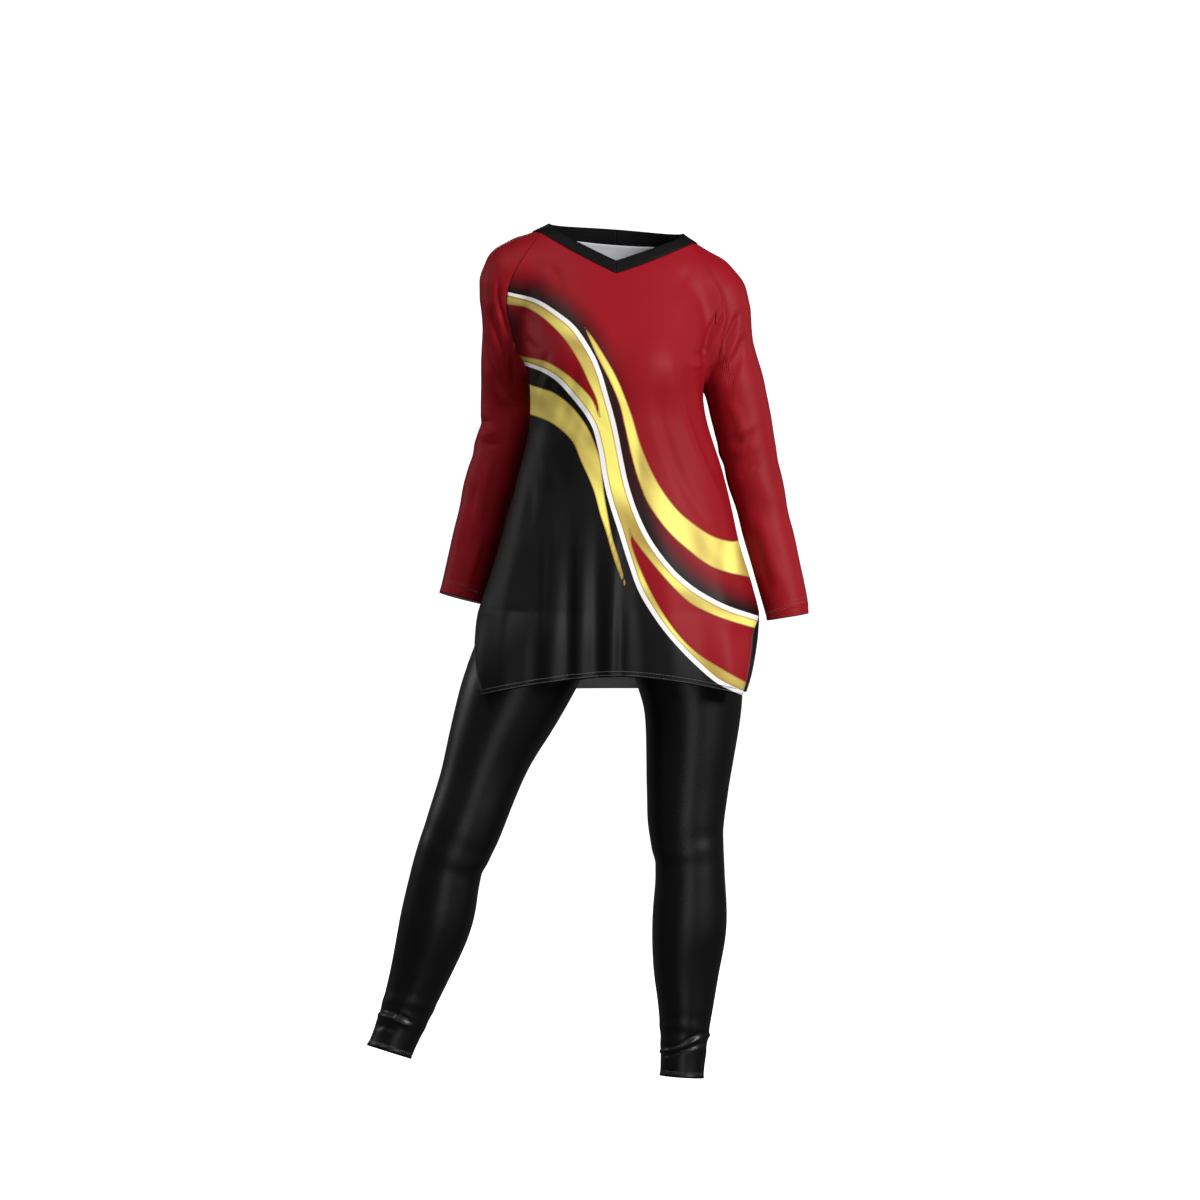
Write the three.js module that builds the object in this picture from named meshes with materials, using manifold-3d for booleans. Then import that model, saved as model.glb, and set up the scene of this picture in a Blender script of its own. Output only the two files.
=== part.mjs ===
// A two-piece cheer uniform in its worn shape: a long-sleeved raglan tunic with a V neckband and
// side slits, over full-length leggings. Millimetres, +Z up, the front faces -Y, +X is the wearer's
// left, and the origin is the middle of the leggings' waist.
//
// Every cloth piece is a wall of even thickness. The bodice, raglan shoulders, neckband and seat are cut
// out of one hollow form with Y-ways and Z-ways cutters, so that neighbours share their seams. The
// skirts, sleeves and legs, which swing, are walls of their own on the same outlines.
import * as THREE from "three";
import { mergeVertices } from "three/addons/utils/BufferGeometryUtils.js";
import Module from "manifold-3d";

const wasm = await Module();
wasm.setup();

// ---------------------------------------------------------------- driving dimensions

const clothWall = 2; // thickness of one cloth wall
const hemWall = 3.2; // thickness of a turned-up hem, which is two layers deep
const seamGap = 0.8; // clearance along a seam between two pieces
const swingGap = 5; // clearance across a seam that swings

const ringSides = 28; // corners round the bodice
const sleeveSides = 12; // corners round a sleeve
const legSides = 14; // corners round a leg
const outlinePower = 2.25; // 2 is an ellipse, more is squarer

const hemDepth = 14; // height of the turned-up hem of the skirts
const cuffDepth = 20; // length of a sleeve hem
const ankleDepth = 18; // length of a leg hem
const bandWidth = 38; // height of the waistband

const armpitHeight = 142;
const slitTop = -221; // the side seams end here, and the skirts swing below
const waistHeight = 0;
const flapTop = -255; // a skirt swings below this height
const slitSpread = 44; // how far the slit stands open each way where the skirts begin
const crotchHeight = -255;
const shoulderPivot = { left: [160, 288], right: [-160, 312] }; // across and up
const shoulderReach = 172; // the shoulder's cloth ends at this distance from its pivot
const hipPivot = { left: [92, -200], right: [-97, -200] };
const hipReach = 115; // the seat's cloth ends at this distance from each hip pivot
const shoulderDrop = -0.075; // the shoulders lean down to the wearer's left, as rise over run
const leanFrom = 40; // the lean starts at this height
const leanTo = 250; // and is full from this height up

const neckHalfWidth = 121; // where the neckband is sewn on, at the shoulder
const neckSideHeight = 370;
const neckPointHeight = 309; // the bottom of the V
const neckBackHeight = 366;
const neckbandWidth = 20; // how far the band reaches up from its seam

const skirtEdgeDepth = 85; // how far the slit edges stand off the side seam, front and back
const slitDrawn = 101; // the length of slit that the stand-off belongs to, up from the front hem
const slitFlare = 0.2; // a longer slit stands off this much more for each millimetre
const tunicLength = 322; // from the waist down to the middle of the front hem
const backHemDrop = 23; // the back hem hangs this much lower than the front one
const frontHemRise = 30; // the front hem is this much higher in the middle than at its corners
const backHemRise = 5; // and the back hem this much
const legLength = 757; // from the hip down to the left ankle
const slitLength = tunicLength + slitTop;

const elasticWall = 2;
const facingWall = 1.6;
const layerGap = 0.5; // clearance between the layers of the waistband

// Height, half width, front depth and back depth of the bodice's outside.
const bodiceOutline = [
  [flapTop, 219, 130, 142],
  [slitTop, 217, 129, 141],
  [-186, 208, 128, 139],
  [-123, 189, 126, 130],
  [-60, 174, 121, 116],
  [0, 164, 119, 106],
  [75, 147, 127, 104],
  [armpitHeight, 139, 134, 110],
  [200, 146, 124, 116],
  [260, 150, 100, 114],
  [300, 146, 80, 106],
  [330, 136, 66, 98],
  [352, 127, 54, 94],
  [370, 118, 44, 88],
  [388, 103, 36, 82],
  [404, 97, 32, 78],
];

// Height, half width, and depth of the front and back skirts below the slits.
const frontSkirtOutline = [
  [slitTop, 217, 129],
  [-254, 218, 130],
  [-307, 214, 129],
  [-366, 204, 127],
];
const backSkirtOutline = [
  [slitTop, 217, 141],
  [-262, 226, 143],
  [-313, 219, 143],
  [-366, 206, 142],
];

// Height, half width, front depth and back depth of the leggings' hips.
const hipOutline = [
  [-300, 120, 60, 80],
  [-255, 152, 86, 102],
  [-210, 172, 96, 117],
  [-160, 169, 99, 119],
  [-110, 157, 98, 113],
  [-60, 142, 95, 103],
  [waistHeight, 128, 92, 96],
  [30, 124, 90, 94],
];

// Centre and radius down each sleeve, from the side of the neck to the cuff.
const leftArm = [
  [70, 14, 322, 50],
  [152, 10, 300, 51],
  [168, 10, 215, 50],
  [191, 10, 125, 49],
  [208, 12, 40, 45],
  [231, 12, -48, 42],
  [251, 8, -128, 39.5],
  [276, -2, -236, 37],
];
const rightArm = [
  [-70, 14, 322, 50],
  [-160, 12, 300, 56],
  [-168, 30, 215, 52],
  [-177, 66, 125, 43],
  [-179, 70, 68, 44],
  [-196, 72, 0, 43],
  [-226, 70, -128, 39.5],
  [-246, 66, -206, 37.5],
];

// Centre and radius down each leg, from inside the hip to the ankle.
const leftLeg = [
  [74, 2, -120, 76],
  [92, 2, -200, 88],
  [109, 2, -288, 88],
  [122, 2, -368, 79],
  [114, 0, -496, 65],
  [111, -2, -560, 60],
  [117, -2, -624, 53.5],
  [116, 6, -710, 60],
  [111, 10, -784, 53],
  [110, 8, -848, 43],
  [107, 6, -912, 36.5],
  [104, 4, -957, 34],
];
const rightLeg = [
  [-74, 2, -120, 76],
  [-97, 2, -200, 88],
  [-134, 1, -288, 89],
  [-168, 0, -362, 83],
  [-219, -8, -496, 63],
  [-243, -12, -565, 60],
  [-266, -10, -624, 54],
  [-285, -2, -700, 58],
  [-306, 4, -770, 50],
  [-328, 6, -838, 41],
  [-352, 4, -900, 36],
  [-364, 2, -928, 34.5],
];

// ---------------------------------------------------------------- small tools

const material = (color, roughness) => new THREE.MeshStandardMaterial({ color, roughness, metalness: 0 });
const redCloth = material(0xa81f2b, 0.55);
const printedCloth = material(0x8a1a24, 0.55);
const blackCloth = material(0x101010, 0.5);
const blackRib = material(0x0c0c0d, 0.65);
const whiteElastic = material(0xe6e3dc, 0.8);

const smooth = (t) => {
  const k = Math.min(1, Math.max(0, t));
  return k * k * (3 - 2 * k);
};

// The value of each column of a table of heights, between its rows, on a smooth curve.
function atHeight(table, z) {
  const rows = [...table].sort((a, b) => a[0] - b[0]);
  const last = rows.length - 1;
  const above = rows.findIndex((r) => r[0] > z);
  const i = above < 0 ? last - 1 : Math.max(0, above - 1);
  const t = Math.min(1, Math.max(0, (z - rows[i][0]) / (rows[i + 1][0] - rows[i][0])));
  const slope = (k, c) => {
    const low = rows[Math.max(0, k - 1)];
    const high = rows[Math.min(last, k + 1)];
    return ((high[c] - low[c]) / (high[0] - low[0])) * (rows[i + 1][0] - rows[i][0]);
  };
  return rows[i].slice(1).map((_, k) => {
    const c = k + 1;
    const [a, b] = [rows[i][c], rows[i + 1][c]];
    return (
      (2 * t ** 3 - 3 * t ** 2 + 1) * a +
      (t ** 3 - 2 * t ** 2 + t) * slope(i, c) +
      (3 * t ** 2 - 2 * t ** 3) * b +
      (t ** 3 - t ** 2) * slope(i + 1, c)
    );
  });
}

// A closed surface over a grid of rows of points: rows are rings that turn anticlockwise seen from
// where the rows go, and the first and last rows are capped.
function closedFromRings(rings) {
  const sides = rings[0].length;
  const points = rings.flat();
  const faces = [];
  rings.slice(1).forEach((_, r) => {
    for (let s = 0; s < sides; s += 1) {
      const next = (s + 1) % sides;
      const [a, b, c, d] = [r * sides + s, r * sides + next, (r + 1) * sides + next, (r + 1) * sides + s];
      faces.push(a, b, c, a, c, d);
    }
  });
  [0, rings.length - 1].forEach((r) => {
    const middle = rings[r].reduce((sum, p) => sum.add(p), new THREE.Vector3()).divideScalar(sides);
    points.push(middle);
    for (let s = 0; s < sides; s += 1) {
      const [a, b] = [r * sides + s, r * sides + ((s + 1) % sides)];
      if (r === 0) faces.push(points.length - 1, b, a);
      else faces.push(points.length - 1, a, b);
    }
  });
  return toSolid(indexed(points, faces));
}

// A closed wall between two grids of the same size, the first of them on the side that the rows'
// left-to-right direction crossed with the upward direction points to.
function closedWall(outer, inner) {
  const [rows, columns] = [outer.length, outer[0].length];
  const points = [...outer.flat(), ...inner.flat()];
  const faces = [];
  const id = (layer, r, c) => layer * rows * columns + r * columns + c;
  const quad = (a, b, c, d) => faces.push(a, b, c, a, c, d);
  for (let r = 0; r < rows - 1; r += 1) {
    for (let c = 0; c < columns - 1; c += 1) {
      quad(id(0, r, c), id(0, r, c + 1), id(0, r + 1, c + 1), id(0, r + 1, c));
      quad(id(1, r, c), id(1, r + 1, c), id(1, r + 1, c + 1), id(1, r, c + 1));
    }
    quad(id(0, r, 0), id(0, r + 1, 0), id(1, r + 1, 0), id(1, r, 0));
    quad(id(0, r + 1, columns - 1), id(0, r, columns - 1), id(1, r, columns - 1), id(1, r + 1, columns - 1));
  }
  for (let c = 0; c < columns - 1; c += 1) {
    quad(id(0, 0, c + 1), id(0, 0, c), id(1, 0, c), id(1, 0, c + 1));
    quad(id(0, rows - 1, c), id(0, rows - 1, c + 1), id(1, rows - 1, c + 1), id(1, rows - 1, c));
  }
  return toSolid(indexed(points, faces));
}

function indexed(points, faces) {
  const geometry = new THREE.BufferGeometry().setFromPoints(points);
  geometry.setIndex(faces);
  return geometry;
}

function toSolid(geometry, leans = true) {
  if (leans) leanPoints(geometry.getAttribute("position"));
  const bare = new THREE.BufferGeometry().setAttribute("position", geometry.getAttribute("position"));
  if (geometry.index) bare.setIndex(geometry.index);
  const merged = mergeVertices(bare, 1e-4);
  return new wasm.Manifold(
    new wasm.Mesh({
      numProp: 3,
      vertProperties: new Float32Array(merged.attributes.position.array),
      triVerts: new Uint32Array(merged.index.array),
    }),
  );
}

// The lean of the shoulders, which moves every point above the waist up or down with its distance
// from the middle.
function leanPoints(position) {
  for (let i = 0; i < position.count; i += 1) {
    const z = position.getZ(i);
    position.setZ(i, z + shoulderDrop * position.getX(i) * smooth((z - leanFrom) / (leanTo - leanFrom)));
  }
}

function toMesh(name, solid, look) {
  const made = solid.getMesh();
  const geometry = new THREE.BufferGeometry();
  geometry.setAttribute("position", new THREE.BufferAttribute(new Float32Array(made.vertProperties), 3));
  geometry.setIndex(new THREE.BufferAttribute(new Uint32Array(made.triVerts), 1));
  geometry.computeVertexNormals();
  const mesh = new THREE.Mesh(geometry, look);
  mesh.name = name;
  return mesh;
}

// A prism through the whole uniform: an outline of [across, up] points seen from the front, run
// from one depth to another.
function frontPrism(outline, from, to) {
  const shape = new THREE.Shape(outline.map(([x, z]) => new THREE.Vector2(x, z)));
  const geometry = new THREE.ExtrudeGeometry(shape, { depth: to - from, bevelEnabled: false });
  geometry.rotateX(Math.PI / 2);
  geometry.translate(0, to, 0);
  return toSolid(geometry);
}

// A prism that runs from side to side, from an outline of [back, up] points.
function sidePrism(outline) {
  const shape = new THREE.Shape(outline.map(([y, z]) => new THREE.Vector2(y, z)));
  const geometry = new THREE.ExtrudeGeometry(shape, { depth: 2 * cutThrough, bevelEnabled: false });
  geometry.rotateX(Math.PI / 2);
  geometry.translate(0, cutThrough, 0);
  return toSolid(geometry.rotateZ(Math.PI / 2));
}

function block(x0, x1, y0, y1, z0, z1) {
  const geometry = new THREE.BoxGeometry(x1 - x0, y1 - y0, z1 - z0);
  geometry.translate((x0 + x1) / 2, (y0 + y1) / 2, (z0 + z1) / 2);
  return toSolid(geometry);
}

const cutThrough = 400; // a cutter reaches this far, past everything

// A cylinder that runs front to back about a pivot given as [across, up].
function pivotCylinder([x, z], radius) {
  const geometry = new THREE.CylinderGeometry(radius, radius, 2 * cutThrough, 72);
  geometry.translate(x, 0, 0);
  return toSolid(geometry.translate(0, 0, z), false);
}

// ---------------------------------------------------------------- the hollow forms

// One ring round the body: a squared ellipse, deeper at the back than in front.
function bodyRing(table, z, shrink, sides) {
  const [halfWidth, front, back] = atHeight(table, z).map((v) => v - shrink);
  return Array.from({ length: sides }, (_, s) => {
    const angle = (2 * Math.PI * s) / sides;
    const [c, n] = [Math.cos(angle), Math.sin(angle)];
    const x = halfWidth * Math.sign(c) * Math.abs(c) ** (2 / outlinePower);
    const y = (n < 0 ? front : back) * Math.sign(n) * Math.abs(n) ** (2 / outlinePower);
    return new THREE.Vector3(x, y, z);
  });
}

function bodySolid(table, shrink, from, to, steps) {
  return closedFromRings(
    Array.from({ length: steps + 1 }, (_, i) => bodyRing(table, from + ((to - from) * i) / steps, shrink, ringSides)),
  );
}

// A limb's centre line and radius as smooth curves, where 0 is the body end and 1 the far end.
function limb(stations) {
  const centre = new THREE.CatmullRomCurve3(stations.map(([x, y, z]) => new THREE.Vector3(x, y, z)));
  const radius = new THREE.CatmullRomCurve3(stations.map(([, , , r], i) => new THREE.Vector3(r, i, 0)));
  return {
    at: (t) => centre.getPoint(t),
    along: (t) => centre.getTangent(t),
    radius: (t) => radius.getPoint(t).x,
    // Where along the limb its centre is at a height, by halving.
    atZ(z) {
      let [low, high] = [0, 1];
      for (let i = 0; i < 40; i += 1) {
        const middle = (low + high) / 2;
        if (centre.getPoint(middle).z > z) low = middle;
        else high = middle;
      }
      return (low + high) / 2;
    },
  };
}

// A ring square to a limb. It turns anticlockwise seen from the limb's far end.
function limbRing(form, t, shrink, sides) {
  const along = form.along(t);
  const side = new THREE.Vector3(0, 1, 0).cross(along).normalize();
  const up = along.clone().cross(side);
  const r = form.radius(t) - shrink;
  return Array.from({ length: sides }, (_, s) => {
    const angle = (2 * Math.PI * s) / sides;
    return form
      .at(t)
      .addScaledVector(side, r * Math.cos(angle))
      .addScaledVector(up, r * Math.sin(angle));
  });
}

function limbSolid(form, from, to, steps, shrink, sides) {
  return closedFromRings(
    Array.from({ length: steps + 1 }, (_, i) => limbRing(form, from + ((to - from) * i) / steps, shrink, sides)),
  );
}

// A hollow stretch of a limb, open at both ends.
function limbWall(form, from, to, steps, wall, sides) {
  const reach = 0.004; // the bore runs past both ends by this share of the limb
  const bore = limbSolid(form, Math.max(0, from - reach), Math.min(1, to + reach), steps, wall, sides);
  const cap = limbRing(form, to, wall, sides);
  const along = form.along(Math.min(1, to));
  const past = cap.map((p) => p.clone().addScaledVector(along, 3 * wall));
  return limbSolid(form, from, to, steps, 0, sides).subtract(bore).subtract(closedFromRings([cap, past]));
}

const lengthOf = (form, from, to) => {
  const steps = 60;
  let total = 0;
  for (let i = 0; i < steps; i += 1) {
    total += form.at(from + ((to - from) * i) / steps).distanceTo(form.at(from + ((to - from) * (i + 1)) / steps));
  }
  return total;
};

// The place a length short of a limb's far end.
const beforeEnd = (form, length) => {
  let [low, high] = [0, 1];
  for (let i = 0; i < 30; i += 1) {
    const middle = (low + high) / 2;
    if (lengthOf(form, middle, 1) > length) low = middle;
    else high = middle;
  }
  return (low + high) / 2;
};

// ---------------------------------------------------------------- tunic outlines, seen from the front

// The raglan seam on the wearer's left, from the armpit up to the neckband.
const raglanSeam = new THREE.SplineCurve([
  new THREE.Vector2(156, armpitHeight - 74),
  new THREE.Vector2(146, armpitHeight - 34),
  new THREE.Vector2(140, armpitHeight),
  new THREE.Vector2(150, 165),
  new THREE.Vector2(166, 212),
  new THREE.Vector2(172, 256),
  new THREE.Vector2(161, 298),
  new THREE.Vector2(neckHalfWidth, neckSideHeight - 4),
  new THREE.Vector2(neckHalfWidth - 26, neckSideHeight + 50),
]);

function raglanRegion(side, grow) {
  const seam = raglanSeam.getPoints(28).map((p) => [side * (p.x - grow), p.y]);
  return [...seam, [side * cutThrough, neckSideHeight + 50], [side * cutThrough, seam[0][1]]];
}

// Everything above the line where the neckband is sewn on, raised by the band's width for its top.
function neckRegion(pointHeight, sideHeight, sideWidth, sag) {
  const half = (side) =>
    new THREE.QuadraticBezierCurve(
      new THREE.Vector2(0, pointHeight),
      new THREE.Vector2(side * sideWidth * 0.55, pointHeight + (sideHeight - pointHeight) * sag),
      new THREE.Vector2(side * sideWidth, sideHeight),
    ).getPoints(7);
  const [left, right] = [half(1), half(-1).reverse()];
  const line = [...right, ...left.slice(1)].map((p) => [p.x, p.y]);
  const top = neckSideHeight + 90;
  const ends = [
    [cutThrough, sideHeight + 4],
    [cutThrough, top],
    [-cutThrough, top],
    [-cutThrough, sideHeight + 4],
  ];
  return [...line, ...ends];
}

const frontHemAt = (x, halfWidth) => -tunicLength - frontHemRise * Math.abs(x / halfWidth) ** 1.5;
const backHemAt = (x, halfWidth) => -tunicLength - backHemDrop - backHemRise * Math.abs(x / halfWidth) ** 2;

// ---------------------------------------------------------------- tunic

const leftArmForm = limb(leftArm);
const rightArmForm = limb(rightArm);
const sleeveTop = armpitHeight - 14; // about where a sleeve's seam with its shoulder is

function bodiceForm(shrink) {
  const [from, to] = shrink ? [flapTop - 12, 410] : [flapTop, 404];
  const body = bodySolid(bodiceOutline, shrink, from, to, 14);
  const stub = (form, pivot) =>
    limbSolid(form, 0.01, form.atZ(sleeveTop - 40), 9, shrink, sleeveSides).intersect(
      pivotCylinder(pivot, shoulderReach + (shrink ? 6 : 0)),
    );
  return body.add(stub(leftArmForm, shoulderPivot.left)).add(stub(rightArmForm, shoulderPivot.right));
}

const shell = bodiceForm(0).subtract(bodiceForm(clothWall));
const outerNeck = {
  front: [neckPointHeight, neckSideHeight, neckHalfWidth, 0.4],
  back: [neckBackHeight, neckSideHeight, neckHalfWidth, 0.3],
};
const innerNeck = {
  front: [neckPointHeight + neckbandWidth, neckSideHeight + neckbandWidth - 4, neckHalfWidth - 12, 0.35],
  back: [neckBackHeight + neckbandWidth + 4, neckSideHeight + neckbandWidth - 4, neckHalfWidth - 12, 0.3],
};
const sideDepth = 12; // the front and back meet at this depth on the shoulder

// What lies above a neckline, in front of and behind the shoulder line.
function aboveNeck(lines, lift) {
  const part = ([point, side, width, sag], from, to) =>
    frontPrism(neckRegion(point + lift, side + lift, width, sag), from, to);
  return part(lines.front, -cutThrough, sideDepth).add(part(lines.back, sideDepth - 0.01, cutThrough));
}

const bodice = shell.subtract(aboveNeck(outerNeck, -seamGap / 2));
const collar = shell.intersect(aboveNeck(outerNeck, seamGap / 2)).subtract(aboveNeck(innerNeck, 0));
const sleeveZone = (side, grow) => frontPrism(raglanRegion(side, grow), -cutThrough, cutThrough);
const betweenSleeves = bodice.subtract(sleeveZone(1, seamGap / 2)).subtract(sleeveZone(-1, seamGap / 2));
const slit = sidePrism([
  [0, slitTop],
  [-slitSpread, flapTop - 1],
  [slitSpread, flapTop - 1],
]);
const bodiceHalf = (from, to) => {
  const half = block(-cutThrough, cutThrough, from, to, flapTop - 1, cutThrough);
  return half.subtract(slit);
};
const frontHalf = bodiceHalf(-cutThrough, -seamGap / 2);
const backHalf = bodiceHalf(seamGap / 2, cutThrough);

// Of the bodies that a cut leaves, the largest.
const largest = (solid) => solid.decompose().sort((a, b) => b.volume() - a.volume())[0];

const shoulderYoke = (side) => largest(bodice.intersect(sleeveZone(side, -seamGap / 2)));
const neckbandHalf = (side) => {
  const [near, far] = [seamGap / 2, cutThrough];
  const [from, to] = side > 0 ? [near, far] : [-far, -near];
  const half = block(from, to, -far, far, 0, far + 100);
  return largest(collar.intersect(half));
};

// A skirt below the slits: an arc whose two edges stand off the side seams, deeper towards the hem.
function skirtWall(table, facing, hemAt, wall) {
  const [rows, columns] = [6, 16];
  const grid = (shrink) =>
    Array.from({ length: rows + 1 }, (_, r) =>
      Array.from({ length: columns + 1 }, (__, c) => {
        const across = Math.sin(((c / columns) * 2 - 1) * (Math.PI / 2));
        const top = flapTop - swingGap;
        const [hemHalfWidth] = atHeight(table, -tunicLength);
        const bottom = hemAt(across * hemHalfWidth, hemHalfWidth);
        const z = bottom + ((top - bottom) * r) / rows;
        const [halfWidth, depth] = atHeight(table, z);
        const open = 1 - (1 - Math.min(1, Math.max(0, (slitTop - z) / (slitTop - bottom)))) ** 2;
        const edge = (skirtEdgeDepth + slitFlare * (slitLength - slitDrawn)) * open;
        const bow = Math.max(0, 1 - Math.abs(across) ** outlinePower) ** (1 / outlinePower);
        const y = edge + (depth - edge) * bow - shrink;
        return new THREE.Vector3(across * (halfWidth - shrink * 0.4), facing * y, z);
      }),
    );
  return facing < 0 ? closedWall(grid(0), grid(wall)) : closedWall(grid(wall), grid(0));
}

// The part of a skirt inside its turned hem, seen from the front.
function insideHem(table, hemAt, inset) {
  const steps = 16;
  const [hemHalfWidth] = atHeight(table, -tunicLength);
  const bottom = Array.from({ length: steps + 1 }, (_, i) => {
    const x = ((i / steps) * 2 - 1) * (hemHalfWidth - inset);
    return [x, hemAt(x, hemHalfWidth) + inset];
  });
  const sideAt = (z) => atHeight(table, z)[0] - inset;
  const rise = Array.from({ length: 4 }, (_, i) => -tunicLength + (i * (slitTop + tunicLength)) / 3);
  const left = rise.map((z) => [sideAt(z), z]);
  const right = rise.map((z) => [-sideAt(z), z]).reverse();
  const top = slitTop + 40;
  return [...bottom, ...left, [sideAt(slitTop), top], [-sideAt(slitTop), top], ...right];
}

function skirtPieces(table, facing, hemAt) {
  const cloth = skirtWall(table, facing, hemAt, clothWall);
  const prism = (inset) => frontPrism(insideHem(table, hemAt, inset), -cutThrough, cutThrough);
  return {
    panel: largest(cloth.intersect(prism(hemDepth + seamGap / 2))),
    hem: largest(cloth.subtract(prism(hemDepth - seamGap / 2))),
  };
}

const frontSkirt = skirtPieces(frontSkirtOutline, -1, frontHemAt);
const backSkirt = skirtPieces(backSkirtOutline, 1, backHemAt);
const frontBodice = largest(betweenSleeves.intersect(frontHalf));
const backBodice = largest(betweenSleeves.intersect(backHalf));

// A sleeve below its yoke, with its cuff hem.
function sleevePieces(form, pivot) {
  const top = form.atZ(sleeveTop + 40);
  const hemStart = beforeEnd(form, cuffDepth);
  const gap = seamGap / lengthOf(form, 0, 1);
  return {
    tube: limbWall(form, top, hemStart - gap, 8, clothWall, sleeveSides).subtract(
      pivotCylinder(pivot, shoulderReach + swingGap),
    ),
    hem: limbWall(form, hemStart, 1, 1, hemWall, sleeveSides),
  };
}

const leftSleeve = sleevePieces(leftArmForm, shoulderPivot.left);
const rightSleeve = sleevePieces(rightArmForm, shoulderPivot.right);

// ---------------------------------------------------------------- leggings

// Each leg's stations below its hip keep their places along the leg, and the leg its angle, when its
// length changes.
const legDrawn = hipPivot.left[1] - leftLeg[leftLeg.length - 1][2];
const longLeg = (stations, pivot) =>
  stations.map(([x, y, z, radius]) => {
    if (z > pivot[1]) return [x, y, z, radius];
    const share = legLength / legDrawn;
    return [pivot[0] + (x - pivot[0]) * share, y, pivot[1] + (z - pivot[1]) * share, radius];
  });
const leftLegForm = limb(longLeg(leftLeg, hipPivot.left));
const rightLegForm = limb(longLeg(rightLeg, hipPivot.right));

function hipForm(shrink) {
  const body = bodySolid(hipOutline, shrink, crotchHeight + shrink, shrink ? 20 : waistHeight, 6);
  const stub = (form, pivot) =>
    limbSolid(form, 0.02, form.atZ(pivot[1] - 1.3 * hipReach), 5, shrink, legSides).intersect(
      pivotCylinder(pivot, hipReach + (shrink ? 6 : 0)),
    );
  return body.add(stub(leftLegForm, hipPivot.left)).add(stub(rightLegForm, hipPivot.right));
}

const hips = hipForm(0).subtract(hipForm(clothWall));
const bandBottom = waistHeight - bandWidth;
const underBand = block(-cutThrough, cutThrough, -cutThrough, cutThrough, -cutThrough, bandBottom - seamGap);
const hipCloth = hips.intersect(underBand);

// The crotch gusset, a diamond seen from below.
const gussetHalfWidth = 26;
const gussetHalfLength = 66;
function gussetZone(grow) {
  const [w, l] = [gussetHalfWidth + grow, gussetHalfLength + grow];
  const shape = new THREE.Shape([
    new THREE.Vector2(w, 0),
    new THREE.Vector2(0, l),
    new THREE.Vector2(-w, 0),
    new THREE.Vector2(0, -l),
  ]);
  const geometry = new THREE.ExtrudeGeometry(shape, { depth: 140, bevelEnabled: false });
  geometry.translate(-6, 4, -340);
  return toSolid(geometry);
}

const gusset = largest(hipCloth.intersect(gussetZone(-seamGap / 2)));
const seats = hipCloth.subtract(gussetZone(seamGap / 2));
const seatHalf = (side) => {
  const [near, far] = [seamGap / 2, cutThrough];
  const [from, to] = side > 0 ? [near, far] : [-far, -near];
  const half = block(from, to, -far, far, -far, far);
  return largest(seats.intersect(half));
};

function legPieces(form, pivot) {
  const top = form.atZ(pivot[1] - 8);
  const hemStart = beforeEnd(form, ankleDepth);
  const gap = seamGap / lengthOf(form, 0, 1);
  return {
    tube: largest(
      limbWall(form, top, hemStart - gap, 11, clothWall, legSides).subtract(
        pivotCylinder(pivot, hipReach + swingGap),
      ),
    ),
    hem: limbWall(form, hemStart, 1, 1, hemWall, legSides),
  };
}

const leftLegCloth = legPieces(leftLegForm, hipPivot.left);
const rightLegCloth = legPieces(rightLegForm, hipPivot.right);

// One layer of the waistband, from a distance inside the leggings' outside.
function bandLayer(inset, wall, top, bottom) {
  const [outer, inner] = [inset, inset + wall];
  const core = bodySolid(hipOutline, inner, bottom - 5, top + 5, 2);
  return bodySolid(hipOutline, outer, bottom, top, 2).subtract(core);
}

const elasticInset = clothWall + layerGap;
const facingInset = elasticInset + elasticWall + layerGap;
const waistband = bandLayer(0, clothWall, waistHeight, bandBottom);
const waistElastic = bandLayer(elasticInset, elasticWall, waistHeight - 3, bandBottom + 3);
const waistFacing = bandLayer(facingInset, facingWall, waistHeight, bandBottom);

// ---------------------------------------------------------------- the uniform

const uniform = new THREE.Group();
uniform.add(
  toMesh("front_bodice", frontBodice, printedCloth),
  toMesh("back_bodice", backBodice, redCloth),
  toMesh("neckband_left", neckbandHalf(1), blackRib),
  toMesh("neckband_right", neckbandHalf(-1), blackRib),
  toMesh("left_shoulder", shoulderYoke(1), redCloth),
  toMesh("right_shoulder", shoulderYoke(-1), redCloth),
  toMesh("left_sleeve", leftSleeve.tube, redCloth),
  toMesh("right_sleeve", rightSleeve.tube, redCloth),
  toMesh("left_cuff_hem", leftSleeve.hem, redCloth),
  toMesh("right_cuff_hem", rightSleeve.hem, redCloth),
  toMesh("front_skirt", frontSkirt.panel, printedCloth),
  toMesh("front_skirt_hem", frontSkirt.hem, blackCloth),
  toMesh("back_skirt", backSkirt.panel, blackCloth),
  toMesh("back_skirt_hem", backSkirt.hem, blackCloth),
  toMesh("waistband", waistband, blackCloth),
  toMesh("waist_elastic", waistElastic, whiteElastic),
  toMesh("waistband_facing", waistFacing, blackCloth),
  toMesh("left_seat", seatHalf(1), blackCloth),
  toMesh("right_seat", seatHalf(-1), blackCloth),
  toMesh("crotch_gusset", gusset, blackCloth),
  toMesh("left_leg", leftLegCloth.tube, blackCloth),
  toMesh("right_leg", rightLegCloth.tube, blackCloth),
  toMesh("left_ankle_hem", leftLegCloth.hem, blackCloth),
  toMesh("right_ankle_hem", rightLegCloth.hem, blackCloth),
);

export default uniform;
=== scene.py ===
"""Looks of a cheer uniform: a raglan tunic and leggings in stretch knit, hung in their worn shape.

Every cloth panel is a grid of points worked out from the wearer's form. Lengths are in millimetres
until a mesh is made, and the frame's metres after that.
"""

import logging
import math
from dataclasses import dataclass, field
from enum import Enum
from typing import Callable, ClassVar, Sequence

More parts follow.
